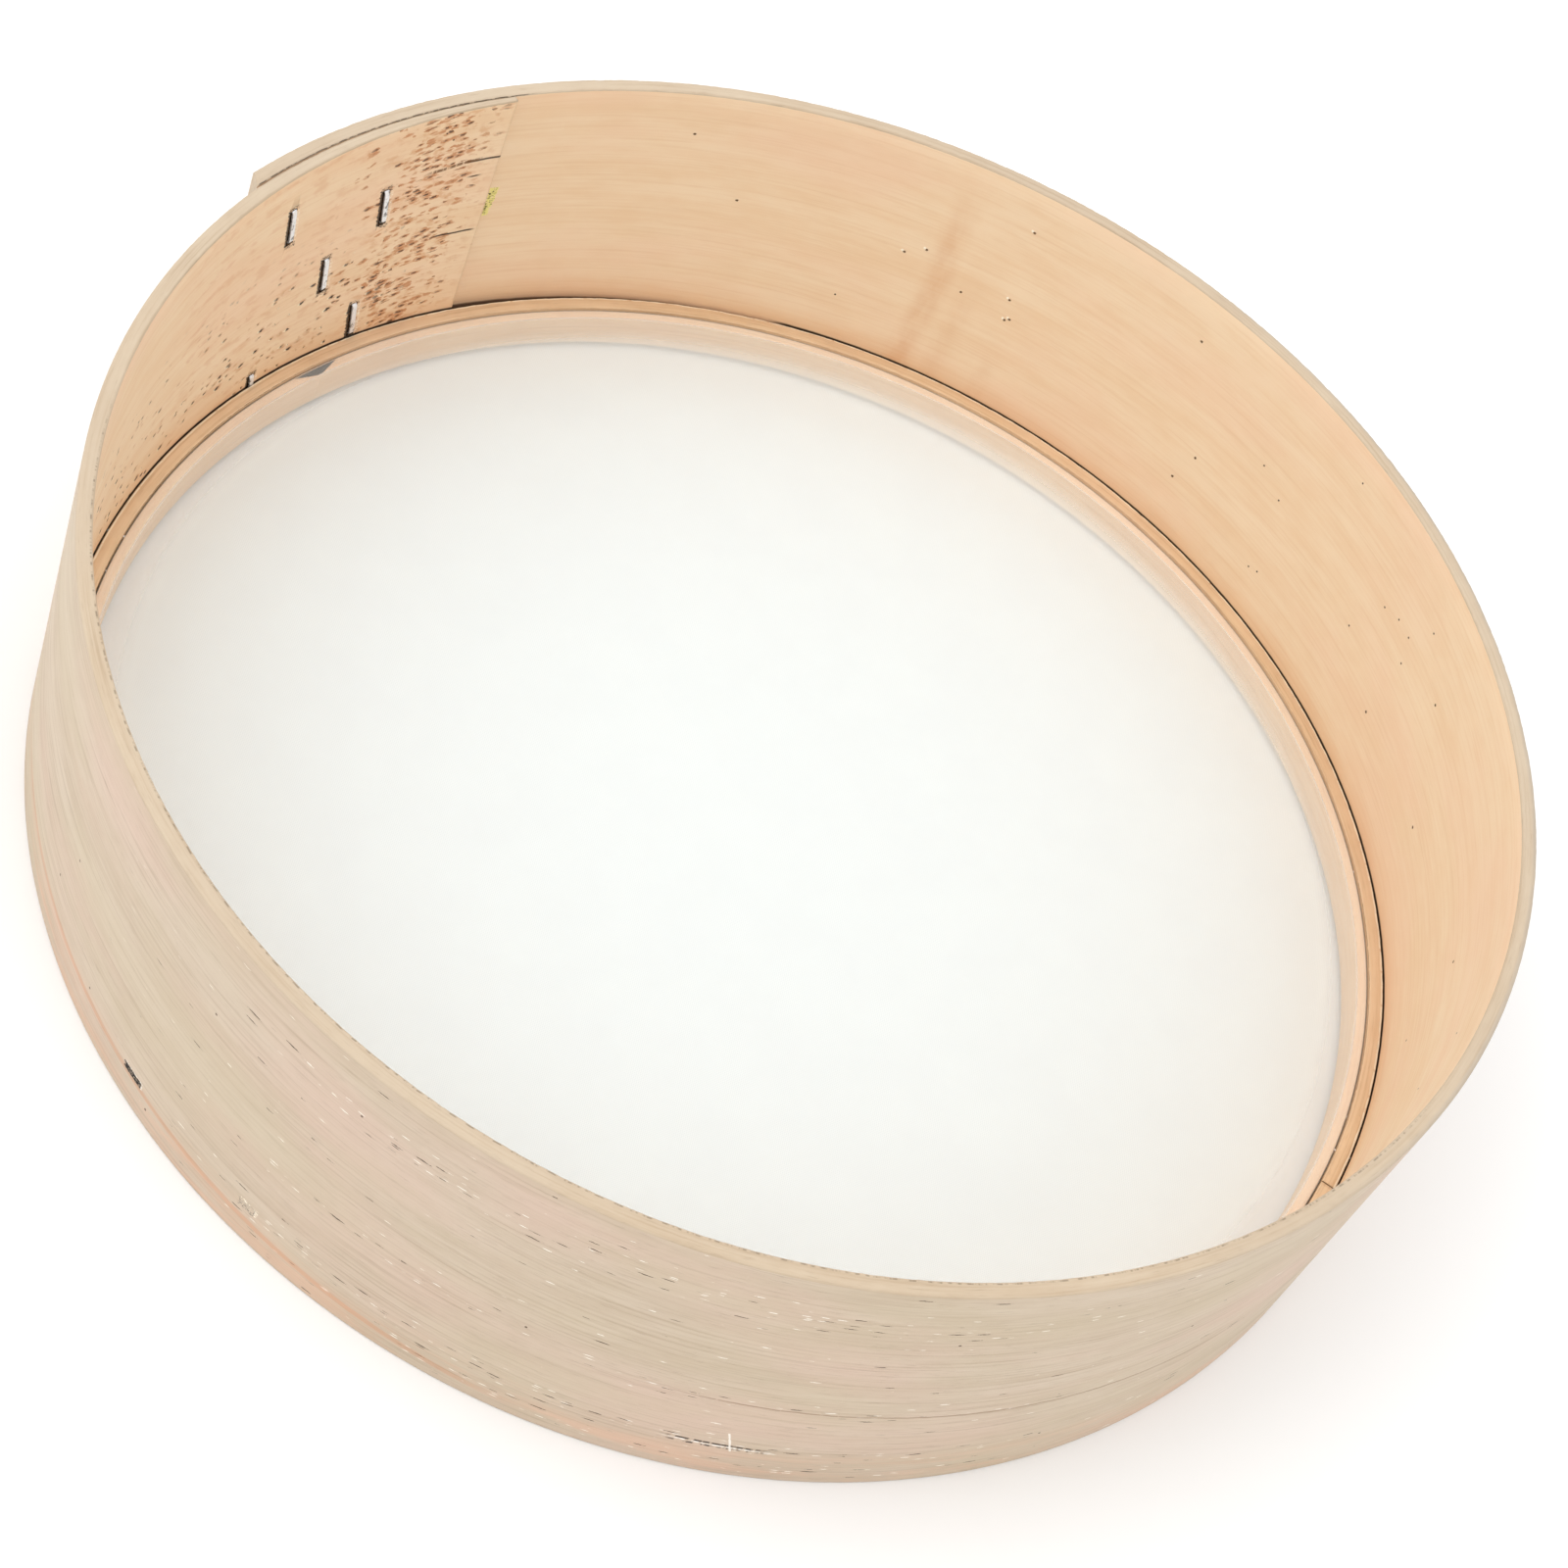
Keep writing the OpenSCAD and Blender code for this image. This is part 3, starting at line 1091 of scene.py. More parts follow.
@dataclass
class Hoop:
    """The bentwood hoop, lapped over itself at its far left.

    Open slots are the level staples whose slots show: bearing, and how long the slot is. Crown
    slot is the depth and the width of an upright crown's slot, and crown room is how much longer
    than the crown it is. Slot shift moves a slot to the side of an upright crown, and outwards
    from a level one, and slot rise moves it up from a level one.
    """

    rule: LapRule
    lap_staples: list[StaplePlace]
    base_staples: list[StaplePlace]
    open_slots: tuple[tuple[float, float], ...] = (
        (227.5, 4.6 * MM), (18.0, 3.5 * MM), (176.0, 4.0 * MM))
    slot_depth: float = 2.2 * MM
    slot_height: float = 0.6 * MM
    slot_rise: float = 0.35 * MM
    slot_shift: float = 0.4 * MM
    crown_slot: tuple[float, float] = (1.0 * MM, 2.1 * MM)
    crown_room: float = 0.3 * MM
    edge: float = 0.5 * MM
    lean: float = 2.5 * MM
    waviness: float = 0.12 * MM
    rim_wear: float = 0.22 * MM
    stations: int = 1500
    rows: int = 14

    def crushed(self, bearing: float, height: float, size: tuple[float, float],
                **look: object) -> Bruise:
        """Crushed wood at a bearing; its height and its size are given in millimetres."""
        return Bruise(places=((self.rule.along(bearing), height * MM),),
                      size=(size[0] * MM, size[1] * MM), **look)

    def line(self, first: float, last: float, soft: float, level: float, breadth: float,
             **look: object) -> Line:
        """A line between two bearings; its other measures are given in millimetres."""
        return Line(along=self.rule.span(first, last, soft), level=level * MM,
                    breadth=breadth * MM, **look)

    def crown_marks(self) -> tuple[Mark, ...]:
        """A painted highlight beside each crown on the lap, painted shade by its side and slot
        over a slight dent, and torn wood at its ends.
        """
        crowns = [(self.rule.along(s.bearing), s.height) for s in self.lap_staples]
        crown, lean = self.lap_staples[0].crown, math.tan(self.lap_staples[0].lean)
        reach = crown / 2 + 0.5 * MM
        ends = tuple((along + 0.3 * MM + lean * side * reach, up + side * reach)
                     for along, up in crowns for side in (-1, 1))
        return (
            # Painted highlight: a pale broken strip on the wood beside each crown
            Bruise(colour=(252, 240, 222), size=(0.8 * MM, crown - 1 * MM), broken=0.5,
                   places=tuple((along - 1.2 * MM, up) for along, up in crowns), lean=lean,
                   strength=0.8),
            # Painted shade: a dark strip by each crown for its shaded side and slot, over a slight
            # dent
            Bruise(colour=(46, 38, 33), size=(1.8 * MM, crown + 0.5 * MM), depth=0.15 * MM,
                   places=tuple((along + 1 * MM, up) for along, up in crowns), lean=lean,
                   ragged=0.75 * MM),
            Bruise(colour=(60, 46, 36), size=(3 * MM, 1.2 * MM), depth=0.1 * MM, broken=0.5,
                   ragged=0.6 * MM, places=ends))

    def inner_wood(self) -> Wood:
        """The hoop's inner face: warm tan, flecked on the lap and stained at the far side."""
        rule, line = self.rule, self.line
        at, span = rule.along, rule.span
        reach = dict(along=span(131.2, 146, 9), crowd=span(133, 140.5, 6))
        freckles = dict(length=1.8 * MM, breadth=0.4 * MM, sparse=0.12, dense=0.5, slant=0.12,
                        layer=7, **reach)
        spots = dict(along=span(138, 181, 14), up=Span(-1, 42 * MM, 12 * MM), length=1.5 * MM,
                     breadth=0.5 * MM, sparse=0.24, slant=0.12, layer=13)
        pins = rule.pins(
            0.32 * MM, (94, 24), (46, 24), (51, 48), (48, 44), (47, 23), (33, 51), (31, 53),
            (29, 53), (35, 38), (27, 61), (28, 47), (42, 67), (-6, 25), (-14.5, 58), (-17, 45),
            (179.5, 13), (136.4, 69), (135.5, 66.5))
        pits = rule.pins(
            0.44 * MM, (89.8, 43.3), (88, 46.2), (79.2, 42.7), (78.4, 37.4), (78.8, 36.6),
            (79.9, 63.6), (83.5, 38.5), (57, 35), (58, 26), (28, 29), (15, 31), (22, 52),
            (-3, 45), (62, 63), (106, 45), (112, 63))
        # Painted highlight: pale specks just beside the first six pits, as their lit rims
        pit_highlights = tuple((along + 0.6 * MM, up + 0.3 * MM, radius) for along, up, radius in pits[:6])
        stains = (
            Stain(colour=colour, centre=at(bearing), width=width * MM,
                  up=Span(-1, top * MM, soft * MM), strength=strength)
            for colour, bearing, width, top, soft, strength in (
                ((208, 146, 96), 86.2, 6.0, 60, 14, 0.34),
                ((208, 148, 100), 83.0, 5.4, 40, 16, 0.17),
                ((208, 148, 100), 78.3, 4.0, 24, 10, 0.16)))
        return Wood(
            "hoop_inner_face", pale=(240, 214, 181), warm=(235, 203, 166), dark=(210, 169, 127),
            blush=(239, 200, 170), streak=0.16, pores=0.2, relief=0.02 * MM, marks=(
                Shade(colour=(208, 150, 98), up=Span(-1, 11 * MM, 8 * MM), strength=0.45),
                Shade(colour=(208, 150, 100), along=span(131, 142, 6), length=4 * MM,
                      rise=2.4 * MM, strength=0.45, bare=0.5, full=0.64),
                Shade(colour=(214, 156, 112), along=span(140, 166, 10), length=7 * MM,
                      rise=3 * MM, strength=0.3, bare=0.5, full=0.64, layer=4),
                Flecks(colour=(194, 126, 76), **freckles, strength=0.8, swell=2.2),
                # Painted highlight: pale copies of the freckles, shifted along, as their lit edges
                Flecks(colour=(255, 238, 208), **freckles, strength=0.5, shift=-0.5 * MM),
                Flecks(colour=(78, 50, 34), **freckles),
                Flecks(colour=(150, 92, 54), **reach, length=3.4 * MM, breadth=0.36 * MM,
                       sparse=0.08, dense=0.22, slant=0.16, layer=10, strength=0.8),
                Flecks(colour=(198, 140, 92), **spots, strength=0.5, swell=1.9),
                # Painted highlight: pale copies of the spots, shifted along, as their lit edges
                Flecks(colour=(255, 242, 216), **spots, strength=0.75, shift=-0.5 * MM),
                Flecks(colour=(52, 38, 28), **spots, strength=1.0),
                *stains,
                Shade(colour=(218, 164, 122), along=span(96, 40, 60), length=40 * MM,
                      rise=3 * MM, strength=0.25, bare=0.5, layer=9),
                Pins(colour=(64, 42, 28), places=pins, strength=1.0),
                # Painted highlight on the pits' rims
                Pins(colour=(255, 244, 226), places=pit_highlights),
                Pins(colour=(92, 64, 36), places=pits, strength=1.0),
                Line(colour=(46, 34, 26), along=Span(-0.01, at(133.4), 1 * MM),
                     level=58.4 * MM, breadth=0.55 * MM, depth=0.2 * MM),
                line(132, 137, 2, 58.1, 0.9, colour=(120, 84, 50), depth=0.1 * MM, gaps=0.4,
                     rise=-0.1),
                line(131.6, 132.6, 1, 53.6, 0.5, colour=(70, 50, 36), depth=0.1 * MM, gaps=0.0),
                line(130.5, 134.5, 1, 36.2, 0.5, colour=(46, 34, 26), depth=0.2 * MM),
                self.crushed(129.3, 42.6, (2.6, 8.4), colour=(238, 226, 140), broken=0.36,
                             ragged=0.9 * MM, lean=-0.1, strength=1.0),
                self.crushed(129.3, 42.6, (2.2, 7.8), colour=(66, 50, 24), broken=0.54,
                             ragged=0.8 * MM, lean=-0.1, depth=0.2 * MM, strength=1.0),
                *self.crown_marks(),
                # Painted shade: the dark gap between the hoop and the clamp ring's top, lower and
                # wider on the stretch by the lap
                Line(colour=(34, 25, 18), along=Span(-0.01, at(98), 3 * MM), level=9.95 * MM,
                     breadth=1.3 * MM, wander=0.12 * MM, gaps=0.0, strength=0.94),
                Line(colour=(48, 32, 22), along=Span(at(98), 2.0, 3 * MM), level=8.3 * MM,
                     breadth=2.4 * MM, wander=0.2 * MM, gaps=0.0, strength=0.8)))

    def outer_wood(self) -> Wood:
        """The hoop's outer face: cooler and greyer, with open level grain."""
        span, line, crushed = self.rule.span, self.line, self.crushed
        dashes = dict(
            along=span(226, 330, 40), crowd=span(242, 296, 40), sparse=0.02, dense=0.3,
            rows=tuple(Span(low * MM, high * MM, soft * MM) for low, high, soft in (
                (3, 6.5, 1.5), (9.5, 13.5, 2), (28, 30, 2), (60, 64, 3))))
        crack = dict(first=274.5, last=281.5, soft=3)
        deep = dict(colour=(48, 37, 29), breadth=0.6, depth=0.15 * MM)
        base_slots = (crushed(bearing, height, size, colour=(50, 40, 32), broken=broken,
                              depth=0.25 * MM)
                      for bearing, height, size, broken in (
                          (346.8, 8.8, (4.2, 0.9), 0.46), (18.2, 8.6, (5, 0.9), 0.5),
                          (176.1, 8.7, (5, 1), 0.46)))
        pins = self.rule.pins(
            0.35 * MM, (212, 20), (214.5, 34), (220, 12), (229.4, 5.2), (233, 52), (246, 62),
            (262, 31), (290, 57), (303, 12), (311, 44), (350, 30), (20, 52))
        return Wood(
            "hoop_outer_face", pale=(208, 191, 170), warm=(198, 179, 156), dark=(158, 136, 114),
            blush=(216, 186, 170), blush_share=0.5, streak=0.4, pores=0.45, relief=0.05 * MM,
            layer=20, marks=(
                Shade(colour=(202, 188, 158), length=60 * MM, rise=24 * MM, strength=0.3,
                      layer=31),
                Shade(colour=(226, 184, 156), up=Span(-1, 9 * MM, 5 * MM), length=40 * MM,
                      rise=4 * MM, strength=0.5, layer=35),
                Flecks(colour=(70, 55, 42), **dashes, length=3 * MM, breadth=0.17 * MM,
                       strength=1.0, layer=23),
                Flecks(colour=(250, 244, 232), **dashes, length=1.9 * MM, breadth=0.16 * MM,
                       layer=29),
                line(198, 262, 12, 8, 1.6, colour=(206, 140, 98), gaps=0.2, strength=0.35,
                     rise=-0.05),
                line(274, 318, 12, 28, 0.4, colour=(150, 118, 92), depth=0.1 * MM, strength=0.6),
                line(**crack, **deep, level=11.5, gaps=0.4),
                line(**crack, **deep, level=10.4, gaps=0.46, rise=0.02, layer=1),
                line(**crack, level=10.95, breadth=0.5, colour=(252, 246, 236), gaps=0.42,
                     layer=2),
                crushed(278.85, 12.9, (0.3, 6.6), colour=(250, 243, 232), ragged=0.25 * MM,
                        broken=0.3, lean=-0.3),
                crushed(227.3, 9.6, (6.4, 1.9), colour=(255, 250, 240), broken=0.5,
                        ragged=0.6 * MM),
                crushed(227.2, 9.4, (5.8, 1.6), colour=(22, 17, 13), broken=0.4,
                        depth=0.3 * MM, strength=1.0),
                crushed(240.6, 10.9, (4.4, 2.4), colour=(255, 246, 226), broken=0.5,
                        ragged=0.6 * MM),
                crushed(240.4, 10.5, (4.0, 2.0), colour=(62, 46, 34), broken=0.54,
                        depth=0.15 * MM),
                *base_slots,
                Pins(colour=(84, 62, 46), places=pins)))

    def edge_wood(self) -> Wood:
        """The hoop's sanded edges and cut ends."""
        rule, top = self.rule, self.rule.height
        seam = dict(colour=(52, 40, 30), breadth=0.24 * MM, wander=0.1 * MM, gaps=0.4,
                    depth=0.1 * MM, strength=0.7)
        return Wood(
            "hoop_edges", pale=(203, 185, 161), warm=(193, 172, 146), dark=(164, 139, 112),
            blush=(193, 174, 151), streak=0.35, pores=0.35, layer=40, relief=0.04 * MM, marks=(
                Line(along=Span(-0.01, math.radians(rule.turn) * rule.radius),
                     level=top + 3.45 * MM, **seam),
                Line(along=Span(math.tau * rule.radius - 4 * MM, 2.0), level=top + 0.3 * MM,
                     **seam),
                # Painted shade: a broken dark line along the rim's inner rounding, on the near
                # side only
                Line(colour=(84, 70, 56), along=rule.span(186, 330, 10), level=top + 0.72 * MM,
                     breadth=0.36 * MM, wander=0.1 * MM, gaps=0.46, strength=0.5),
                Shade(colour=(176, 164, 150), along=rule.span(-35, 60, 30),
                      up=Span(top + 2.6 * MM, top + 6 * MM, 0.4 * MM), strength=0.55,
                      length=20 * MM, rise=20 * MM, bare=0.3, full=0.5)))

    def cutters(self) -> bpy.types.Object:
        """The slots that the staples' crowns lie in, as one object that is cut away.

        Returns:
            The object to cut away.
        """
        inner = self.rule.radius - self.rule.thickness
        made = [(Vector((inner, self.slot_shift, s.height)),
                 Vector((*self.crown_slot, s.crown + self.crown_room)), s.bearing, s.lean)
                for s in self.lap_staples]
        made += [(Vector((s.radius + self.slot_shift, 0.0, s.height + self.slot_rise)),
                  Vector((self.slot_depth, shows, self.slot_height)), s.bearing, 0.0)
                 for s in self.base_staples for bearing, shows in self.open_slots
                 if abs(bearing - s.bearing) < 1]
        verts: list[Vector] = []
        faces: list[list[int]] = []
        corners = [(-1, -1, -1), (1, -1, -1), (1, 1, -1), (-1, 1, -1),
                   (-1, -1, 1), (1, -1, 1), (1, 1, 1), (-1, 1, 1)]
        sides = [(3, 2, 1, 0), (4, 5, 6, 7), (0, 1, 5, 4), (1, 2, 6, 5), (2, 3, 7, 6),
                 (3, 0, 4, 7)]
        for centre, size, bearing, lean in made:
            turn = Matrix.Rotation(math.radians(bearing), 4, "Z")
            tip = Matrix.Rotation(-lean, 4, "X")
            first = len(verts)
            verts += [turn @ (centre + tip @ (size * Vector(corner) / 2)) for corner in corners]
            faces += [[first + k for k in side] for side in sides]
        mesh = bpy.data.meshes.new("staple_slots")
        mesh.from_pydata(verts, [], faces)
        mesh.uv_layers.new(name=STRIP_MAP)
        mesh.update()
        return added("staple_slots", mesh)

    def build(self) -> bpy.types.Object:
        """Makes the hoop, cuts its staple slots and hands it to the frame."""
        rule = self.rule
        woods = [w.material() for w in (self.inner_wood(), self.outer_wood(), self.edge_wood())]
        plank = Plank(rule.length, rule.thickness, rule.height, self.edge, self.stations,
                      self.rows, lean_end=self.lean).build("hoop_strip", woods)
        hoop = rule.bend(plank, self.waviness, self.rim_wear, woods)
        slots = self.cutters()
        slots.data.materials.append(CrushedWood().material())
        cut = hoop.modifiers.new("slots", "BOOLEAN")
        cut.operation, cut.object, cut.solver = "DIFFERENCE", slots, "MANIFOLD"
        cut.material_mode = "TRANSFER"
        baked(hoop)
        bpy.data.objects.remove(slots)
        return dress(hoop, "hoop_wood", "outer_hoop")


@dataclass
class Ring:
    """A narrow wooden ring inside the hoop's base."""

    name: str
    node: str
    slot: str
    joint: float
    thickness: float
    lean: float
    edge: float = 0.3 * MM
    wear: float = 0.18 * MM
    gap: float = 0.3 * MM
    stations: int = 900
    rows: int = 4

    def wood(self, at: Callable[[float], float], height: float) -> Wood:
        """The ring's wood.

        Args:
            at: Gives how far along the strip a bearing lies.
            height: The strip's height.

        Returns:
            The finish.
        """
        raise NotImplementedError

    def build(self) -> bpy.types.Object:
        """Makes the ring and hands it to the frame."""
        low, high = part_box(self.node)
        height = high.z - low.z
        radius = (high.x - low.x) / 2 - self.thickness

        def at(bearing: float) -> float:
            """How far along the strip a bearing lies."""
            turn = bearing - self.joint
            return math.radians(turn if 0 <= turn <= 360 else turn % 360) * radius

        woods = [self.wood(at, height).material()] * len(Face)
        plank = Plank(math.tau * radius - self.gap, self.thickness, height, self.edge,
                      self.stations, self.rows, lean_start=-self.lean,
                      lean_end=-self.lean).build(self.name, woods)
        rule = RingRule(radius, low.z, self.joint + math.degrees(self.gap / 2 / radius))
        return dress(rule.bend(plank, f"bend_{self.node}", self.wear, woods), self.slot,
                     self.node)


@dataclass
class ClampRing(Ring):
    """The outer ring, pressed in round the mesh, with its square joint."""

    name: str = "clamp_ring_strip"
    node: str = "clamp_ring"
    slot: str = "clamp_ring_wood"
    joint: float = 341.0
    thickness: float = 3.2 * MM
    lean: float = 0.0

    def wood(self, at: Callable[[float], float], height: float) -> Wood:
        """Greyish-tan wood, with painted shade along the slit at its inner top corner and a
        painted highlight along its outer top corner.
        """
        slit = dict(level=height - 0.1 * MM, breadth=0.4 * MM, wander=0.12 * MM)
        return Wood(
            self.name, pale=(226, 196, 160), warm=(213, 180, 142), dark=(168, 132, 96),
            blush=(218, 184, 152), streak=0.4, pores=0.35, layer=60, relief=0.05 * MM, marks=(
                # Painted shade along the slit where the mesh tucks down, darker on two stretches
                Line(colour=(140, 104, 76), gaps=0.4, strength=0.4, **slit),
                *(Line(colour=(60, 40, 28), along=Span(at(first), at(last), 8 * MM), gaps=gaps,
                       **slit)
                  for first, last, gaps in ((342, 375, 0.36), (148, 172, 0.4))),
                # Painted highlight along the rounded outer top corner
                Line(colour=(246, 232, 206), level=height + 3.1 * MM, breadth=0.5 * MM,
                     gaps=0.34, strength=0.75)))


@dataclass
class MeshRing(Ring):
    """The inner ring, which carries the mesh, with its slanting joint."""

    name: str = "mesh_ring_strip"
    node: str = "mesh_ring"
    slot: str = "mesh_ring_wood"
    joint: float = 146.0
    thickness: float = 2.4 * MM
    lean: float = 7 * MM
    wear: float = 0.0

    def wood(self, at: Callable[[float], float], height: float) -> Wood:
        """Paler, cleaner wood than the hoop's."""
        return Wood(
            self.name, pale=(248, 220, 188), warm=(242, 208, 170),
            dark=(200, 160, 120), blush=(246, 210, 178), streak=0.3, pores=0.3,
            layer=80)


@dataclass
class StretchedMesh:
    """The round of mesh, stretched over the mesh ring and tucked down round its outside."""

    ring_thickness: float
    thickness: float = 0.14 * MM
    clearance: float = 0.06 * MM
    rings: int = 60
    around: int = 360
    tight: float = 12 * MM
    inset: float = 0.05 * MM
    shoulder: float = 2.6 * MM
    pucker: float = 0.12 * MM
    pucker_reach: float = 22 * MM
    puckers: float = 96.0
    drift: float = 28.0
    fold: float = 0.5 * MM

    def build(self) -> bpy.types.Object:
        low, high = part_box("mesh_cloth")
        _, ring_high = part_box("mesh_ring")
        weave = Weave(ring_high.x - self.ring_thickness)
        edge = high.x - self.thickness / 2 - self.inset
        top = ring_high.z + self.thickness + self.clearance
        drop = top - low.z
        cut = edge + drop - self.fold * (2 - math.pi / 2)
        disc = self.flat_disc(cut)
        tree = GeometryTree("stretch_mesh", {
            "Edge": edge, "Top": top, "Fold": self.fold, "Pucker": self.pucker,
            "Pucker reach": self.pucker_reach, "Ring": edge - self.shoulder,
        })
        board, size = tree.board, tree.size
        x, y, _ = tree.point
        reach = board.math("SQRT", x * x + y * y)
        bearing = board.math("ARCTAN2", y, x)
        flat_end = size("Edge") - size("Fold")
        past = board.math("MAXIMUM", reach - flat_end, 0.0)
        quarter = size("Fold") * (math.pi / 2)
        angle = board.math("MINIMUM", past / size("Fold"), math.pi / 2)
        down = board.math("MAXIMUM", past - quarter, 0.0)
        out = board.math("MINIMUM", reach, flat_end) + size("Fold") * board.math("SINE", angle)
        fall = size("Fold") * (1.0 - board.math("COSINE", angle)) + down
        inside = board.math("MAXIMUM", size("Ring") - reach, 0.0)
        near = board.math("EXPONENT", inside / size("Pucker reach") * -3.0)
        lift = board.ramp(inside, 0.0, 5 * MM)
        x_share = board.math("COSINE", bearing)
        y_share = board.math("SINE", bearing)
        drift = board.noise_at((x_share, 3.0), (y_share, 3.0), (reach, 12.0))
        folds = board.math("SINE", bearing * self.puckers + drift * self.drift)
        patch = board.noise_at((x_share, 2.4), (y_share, 2.4))
        right = board.ramp(x_share, 0.9, 1.0, 0.25, 1.0)
        amount = board.ramp(patch, 0.4, 0.7) * (near * lift)
        ripple = folds * (amount * right) * size("Pucker")
        height = size("Top") - fall + ripple
        tree.finish(board.polar(out, bearing, height), [weave.material()])
        tree.apply(disc)
        wall = disc.modifiers.new("thickness", "SOLIDIFY")
        wall.thickness, wall.offset = self.thickness, -1.0
        baked(disc)
        disc.name = "stretched_mesh"
        dress(disc, "mesh", "mesh_cloth")
        2 * cut
        2 * cut
        math.pi * cut ** 2
        LOG.info("mesh cut %.1f mm across", 2000 * cut)
        return disc

    def flat_disc(self, radius: float) -> bpy.types.Object:
        """Makes the flat round of cloth, with closer rings towards its edge.

        Args:
            radius: The radius that the cloth was cut to.

        Returns:
            The flat disc.
        """
        inner = np.linspace(0.0, radius - self.tight, self.rings + 1)[1:]
        outer = np.linspace(radius - self.tight, radius, 3 * self.rings // 4 + 1)[1:]
        steps = np.concatenate([inner, outer])
        angle = np.arange(self.around) * 2 * math.pi / self.around
        x, y = np.outer(steps, np.cos(angle)), np.outer(steps, np.sin(angle))
        verts = np.concatenate([[[0, 0, 0]],
                                np.stack([x, y, np.zeros_like(x)], -1).reshape(-1, 3)])
        n = self.around
        pairs = [(1 + k, 1 + (k + 1) % n) for k in range(n)]
        faces: list[list[int]] = [[0, a, b] for a, b in pairs]
        for first in range(0, n * (len(steps) - 1), n):
            faces += [[first + a, first + a + n, first + b + n, first + b] for a, b in pairs]
        mesh = bpy.data.meshes.new("stretched_mesh")
        mesh.from_pydata(verts.tolist(), [], faces)
        loops = np.zeros(len(mesh.loops), np.int32)
        mesh.loops.foreach_get("vertex_index", loops)
        layer = mesh.uv_layers.new(name=STRIP_MAP)
        layer.data.foreach_set("uv", verts[loops, :2].astype(np.float32).ravel())
        mesh.polygons.foreach_set("use_smooth", [True] * len(mesh.polygons))
        mesh.update()
        return added("stretched_mesh", mesh)


@dataclass
class Staples:
    """The steel staples, which keep the frame's own shape with softened edges."""

    nodes: tuple[str, ...]
    steel: Steel = field(default_factory=Steel)
    edge: float = 0.12 * MM
    edge_steps: int = 2
    merge: float = 0.002 * MM

    def build(self) -> None:
        """Gives each staple its steel and takes the sharpness off its edges."""
        steel = self.steel.material()
        for name in self.nodes:
            staple = frame["nodes"][name]
            staple.data.materials.clear()
            staple.data.materials.append(steel)
            weld = staple.modifiers.new("weld", "WELD")
            weld.merge_threshold = self.merge
            soft = staple.modifiers.new("soft_edges", "BEVEL")
            soft.width, soft.segments, soft.limit_method = self.edge, self.edge_steps, "ANGLE"
            LOG.info("%s: steel", name)


@dataclass(frozen=True)
class SoftBox:
    """One square light: where it hangs, how wide it is and its power in watts."""

    name: str
    place: Vector
    width: float
    power: float

    def build(self, aim: Vector) -> None:
        """Hangs the light, aimed at a point."""
        data = bpy.data.lights.new(self.name, "AREA")
        data.shape, data.size, data.energy = "SQUARE", self.width, self.power
        lamp = added(self.name, data)
        lamp.location = self.place
        lamp.rotation_mode = "QUATERNION"
        lamp.rotation_quaternion = (aim - self.place).to_track_quat("-Z", "Y")


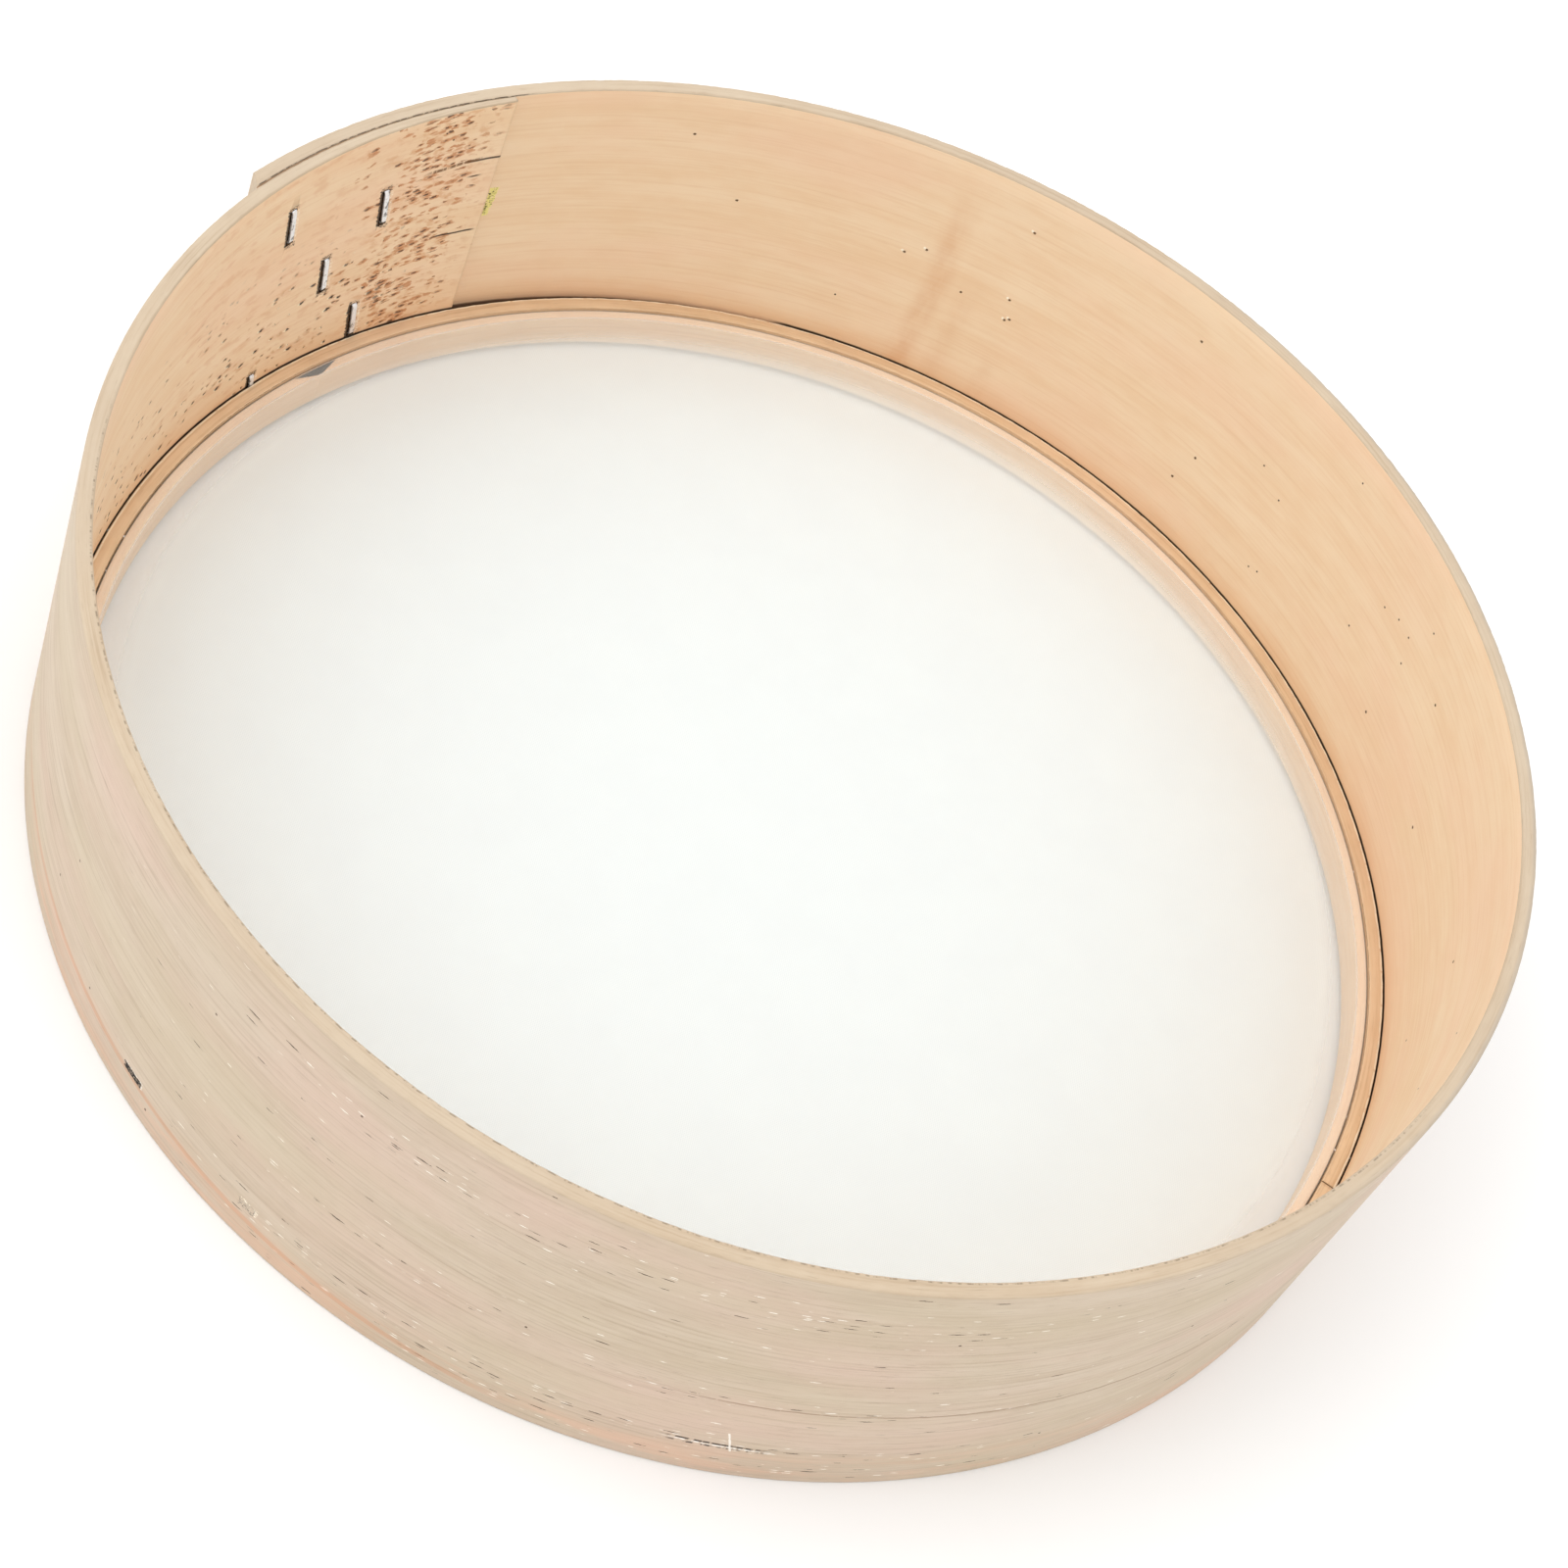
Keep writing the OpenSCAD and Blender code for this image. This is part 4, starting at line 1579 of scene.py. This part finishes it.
@dataclass(frozen=True)
class Studio:
    """A plain white floor, soft light all round, and the camera."""

    eye: Vector = Vector((-0.08177, -0.44438, 0.54189))
    aim: Vector = Vector((0.00167, -0.01463, 0.0375))
    roll: float = 27.24
    lens: float = 75.473
    sensor: float = 36.0
    clip: tuple[float, float] = (0.01, 20.0)
    lights: tuple[SoftBox, ...] = (
        SoftBox("key_light", Vector((-1.1, -0.2, 1.3)), 1.3, 9.0),
        SoftBox("fill_light", Vector((1.0, -1.1, 1.2)), 1.2, 4.5),
        SoftBox("top_light", Vector((0.0, 0.1, 1.7)), 1.6, 8.0))
    sky_strength: float = 0.85
    floor_half: float = 4.0
    floor_level: float = -0.05 * MM
    floor_grey: float = 0.93
    floor_roughness: float = 0.9

    def build(self) -> None:
        """Makes the camera, the floor and the lights."""
        self.camera()
        self.floor()
        self.sky()
        for light in self.lights:
            light.build(self.aim)
        bpy.context.scene.view_settings.view_transform = "Standard"

    def camera(self) -> None:
        """Stands the camera where the photograph was taken from."""
        data = bpy.data.cameras.new("camera")
        data.lens, data.sensor_width = self.lens, self.sensor
        data.clip_start, data.clip_end = self.clip
        camera = added("camera", data)
        aim = (self.aim - self.eye).to_track_quat("-Z", "Y")
        camera.rotation_mode = "QUATERNION"
        camera.rotation_quaternion = aim @ Euler((0, 0, math.radians(self.roll))).to_quaternion()
        camera.location = self.eye
        bpy.context.scene.camera = camera

    def floor(self) -> None:
        """Lays the floor that the sieve stands on."""
        mesh = bpy.data.meshes.new("floor")
        corners = [(x * self.floor_half, y * self.floor_half, self.floor_level)
                   for x, y in ((-1, -1), (1, -1), (1, 1), (-1, 1))]
        mesh.from_pydata(corners, [], [(0, 1, 2, 3)])
        floor = added("floor", mesh)
        material = bpy.data.materials.new("floor_white")
        material.use_nodes = True
        shader = material.node_tree.nodes["Principled BSDF"]
        shader.inputs["Base Color"].default_value = (*[self.floor_grey] * 3, 1.0)
        shader.inputs["Roughness"].default_value = self.floor_roughness
        mesh.materials.append(material)

    def sky(self) -> None:
        """Lights the scene evenly from all round."""
        world = bpy.data.worlds.new("soft_white")
        world.use_nodes = True
        sky = world.node_tree.nodes["Background"]
        sky.inputs["Color"].default_value = (1.0, 1.0, 1.0, 1.0)
        sky.inputs["Strength"].default_value = self.sky_strength
        bpy.context.scene.world = world


LAP_STAPLES = ("lap_staple_top", "lap_staple_upper", "lap_staple_middle", "lap_staple_lower",
               "lap_staple_foot")
BASE_STAPLES = "base_staples"


def main() -> None:
    """Builds the sieve piece by piece, then the studio round it."""
    logging.basicConfig(level=logging.INFO, format="%(name)s: %(message)s")
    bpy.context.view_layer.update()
    low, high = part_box("outer_hoop")
    rule = LapRule(radius=(high.y - low.y) / 2, height=high.z)
    Hoop(rule, [upright_staple(n) for n in LAP_STAPLES], level_staples(BASE_STAPLES)).build()
    ClampRing().build()
    mesh_ring = MeshRing()
    mesh_ring.build()
    StretchedMesh(mesh_ring.thickness).build()
    Staples((*LAP_STAPLES, BASE_STAPLES)).build()
    Studio().build()


if __name__ == "__main__":
    main()
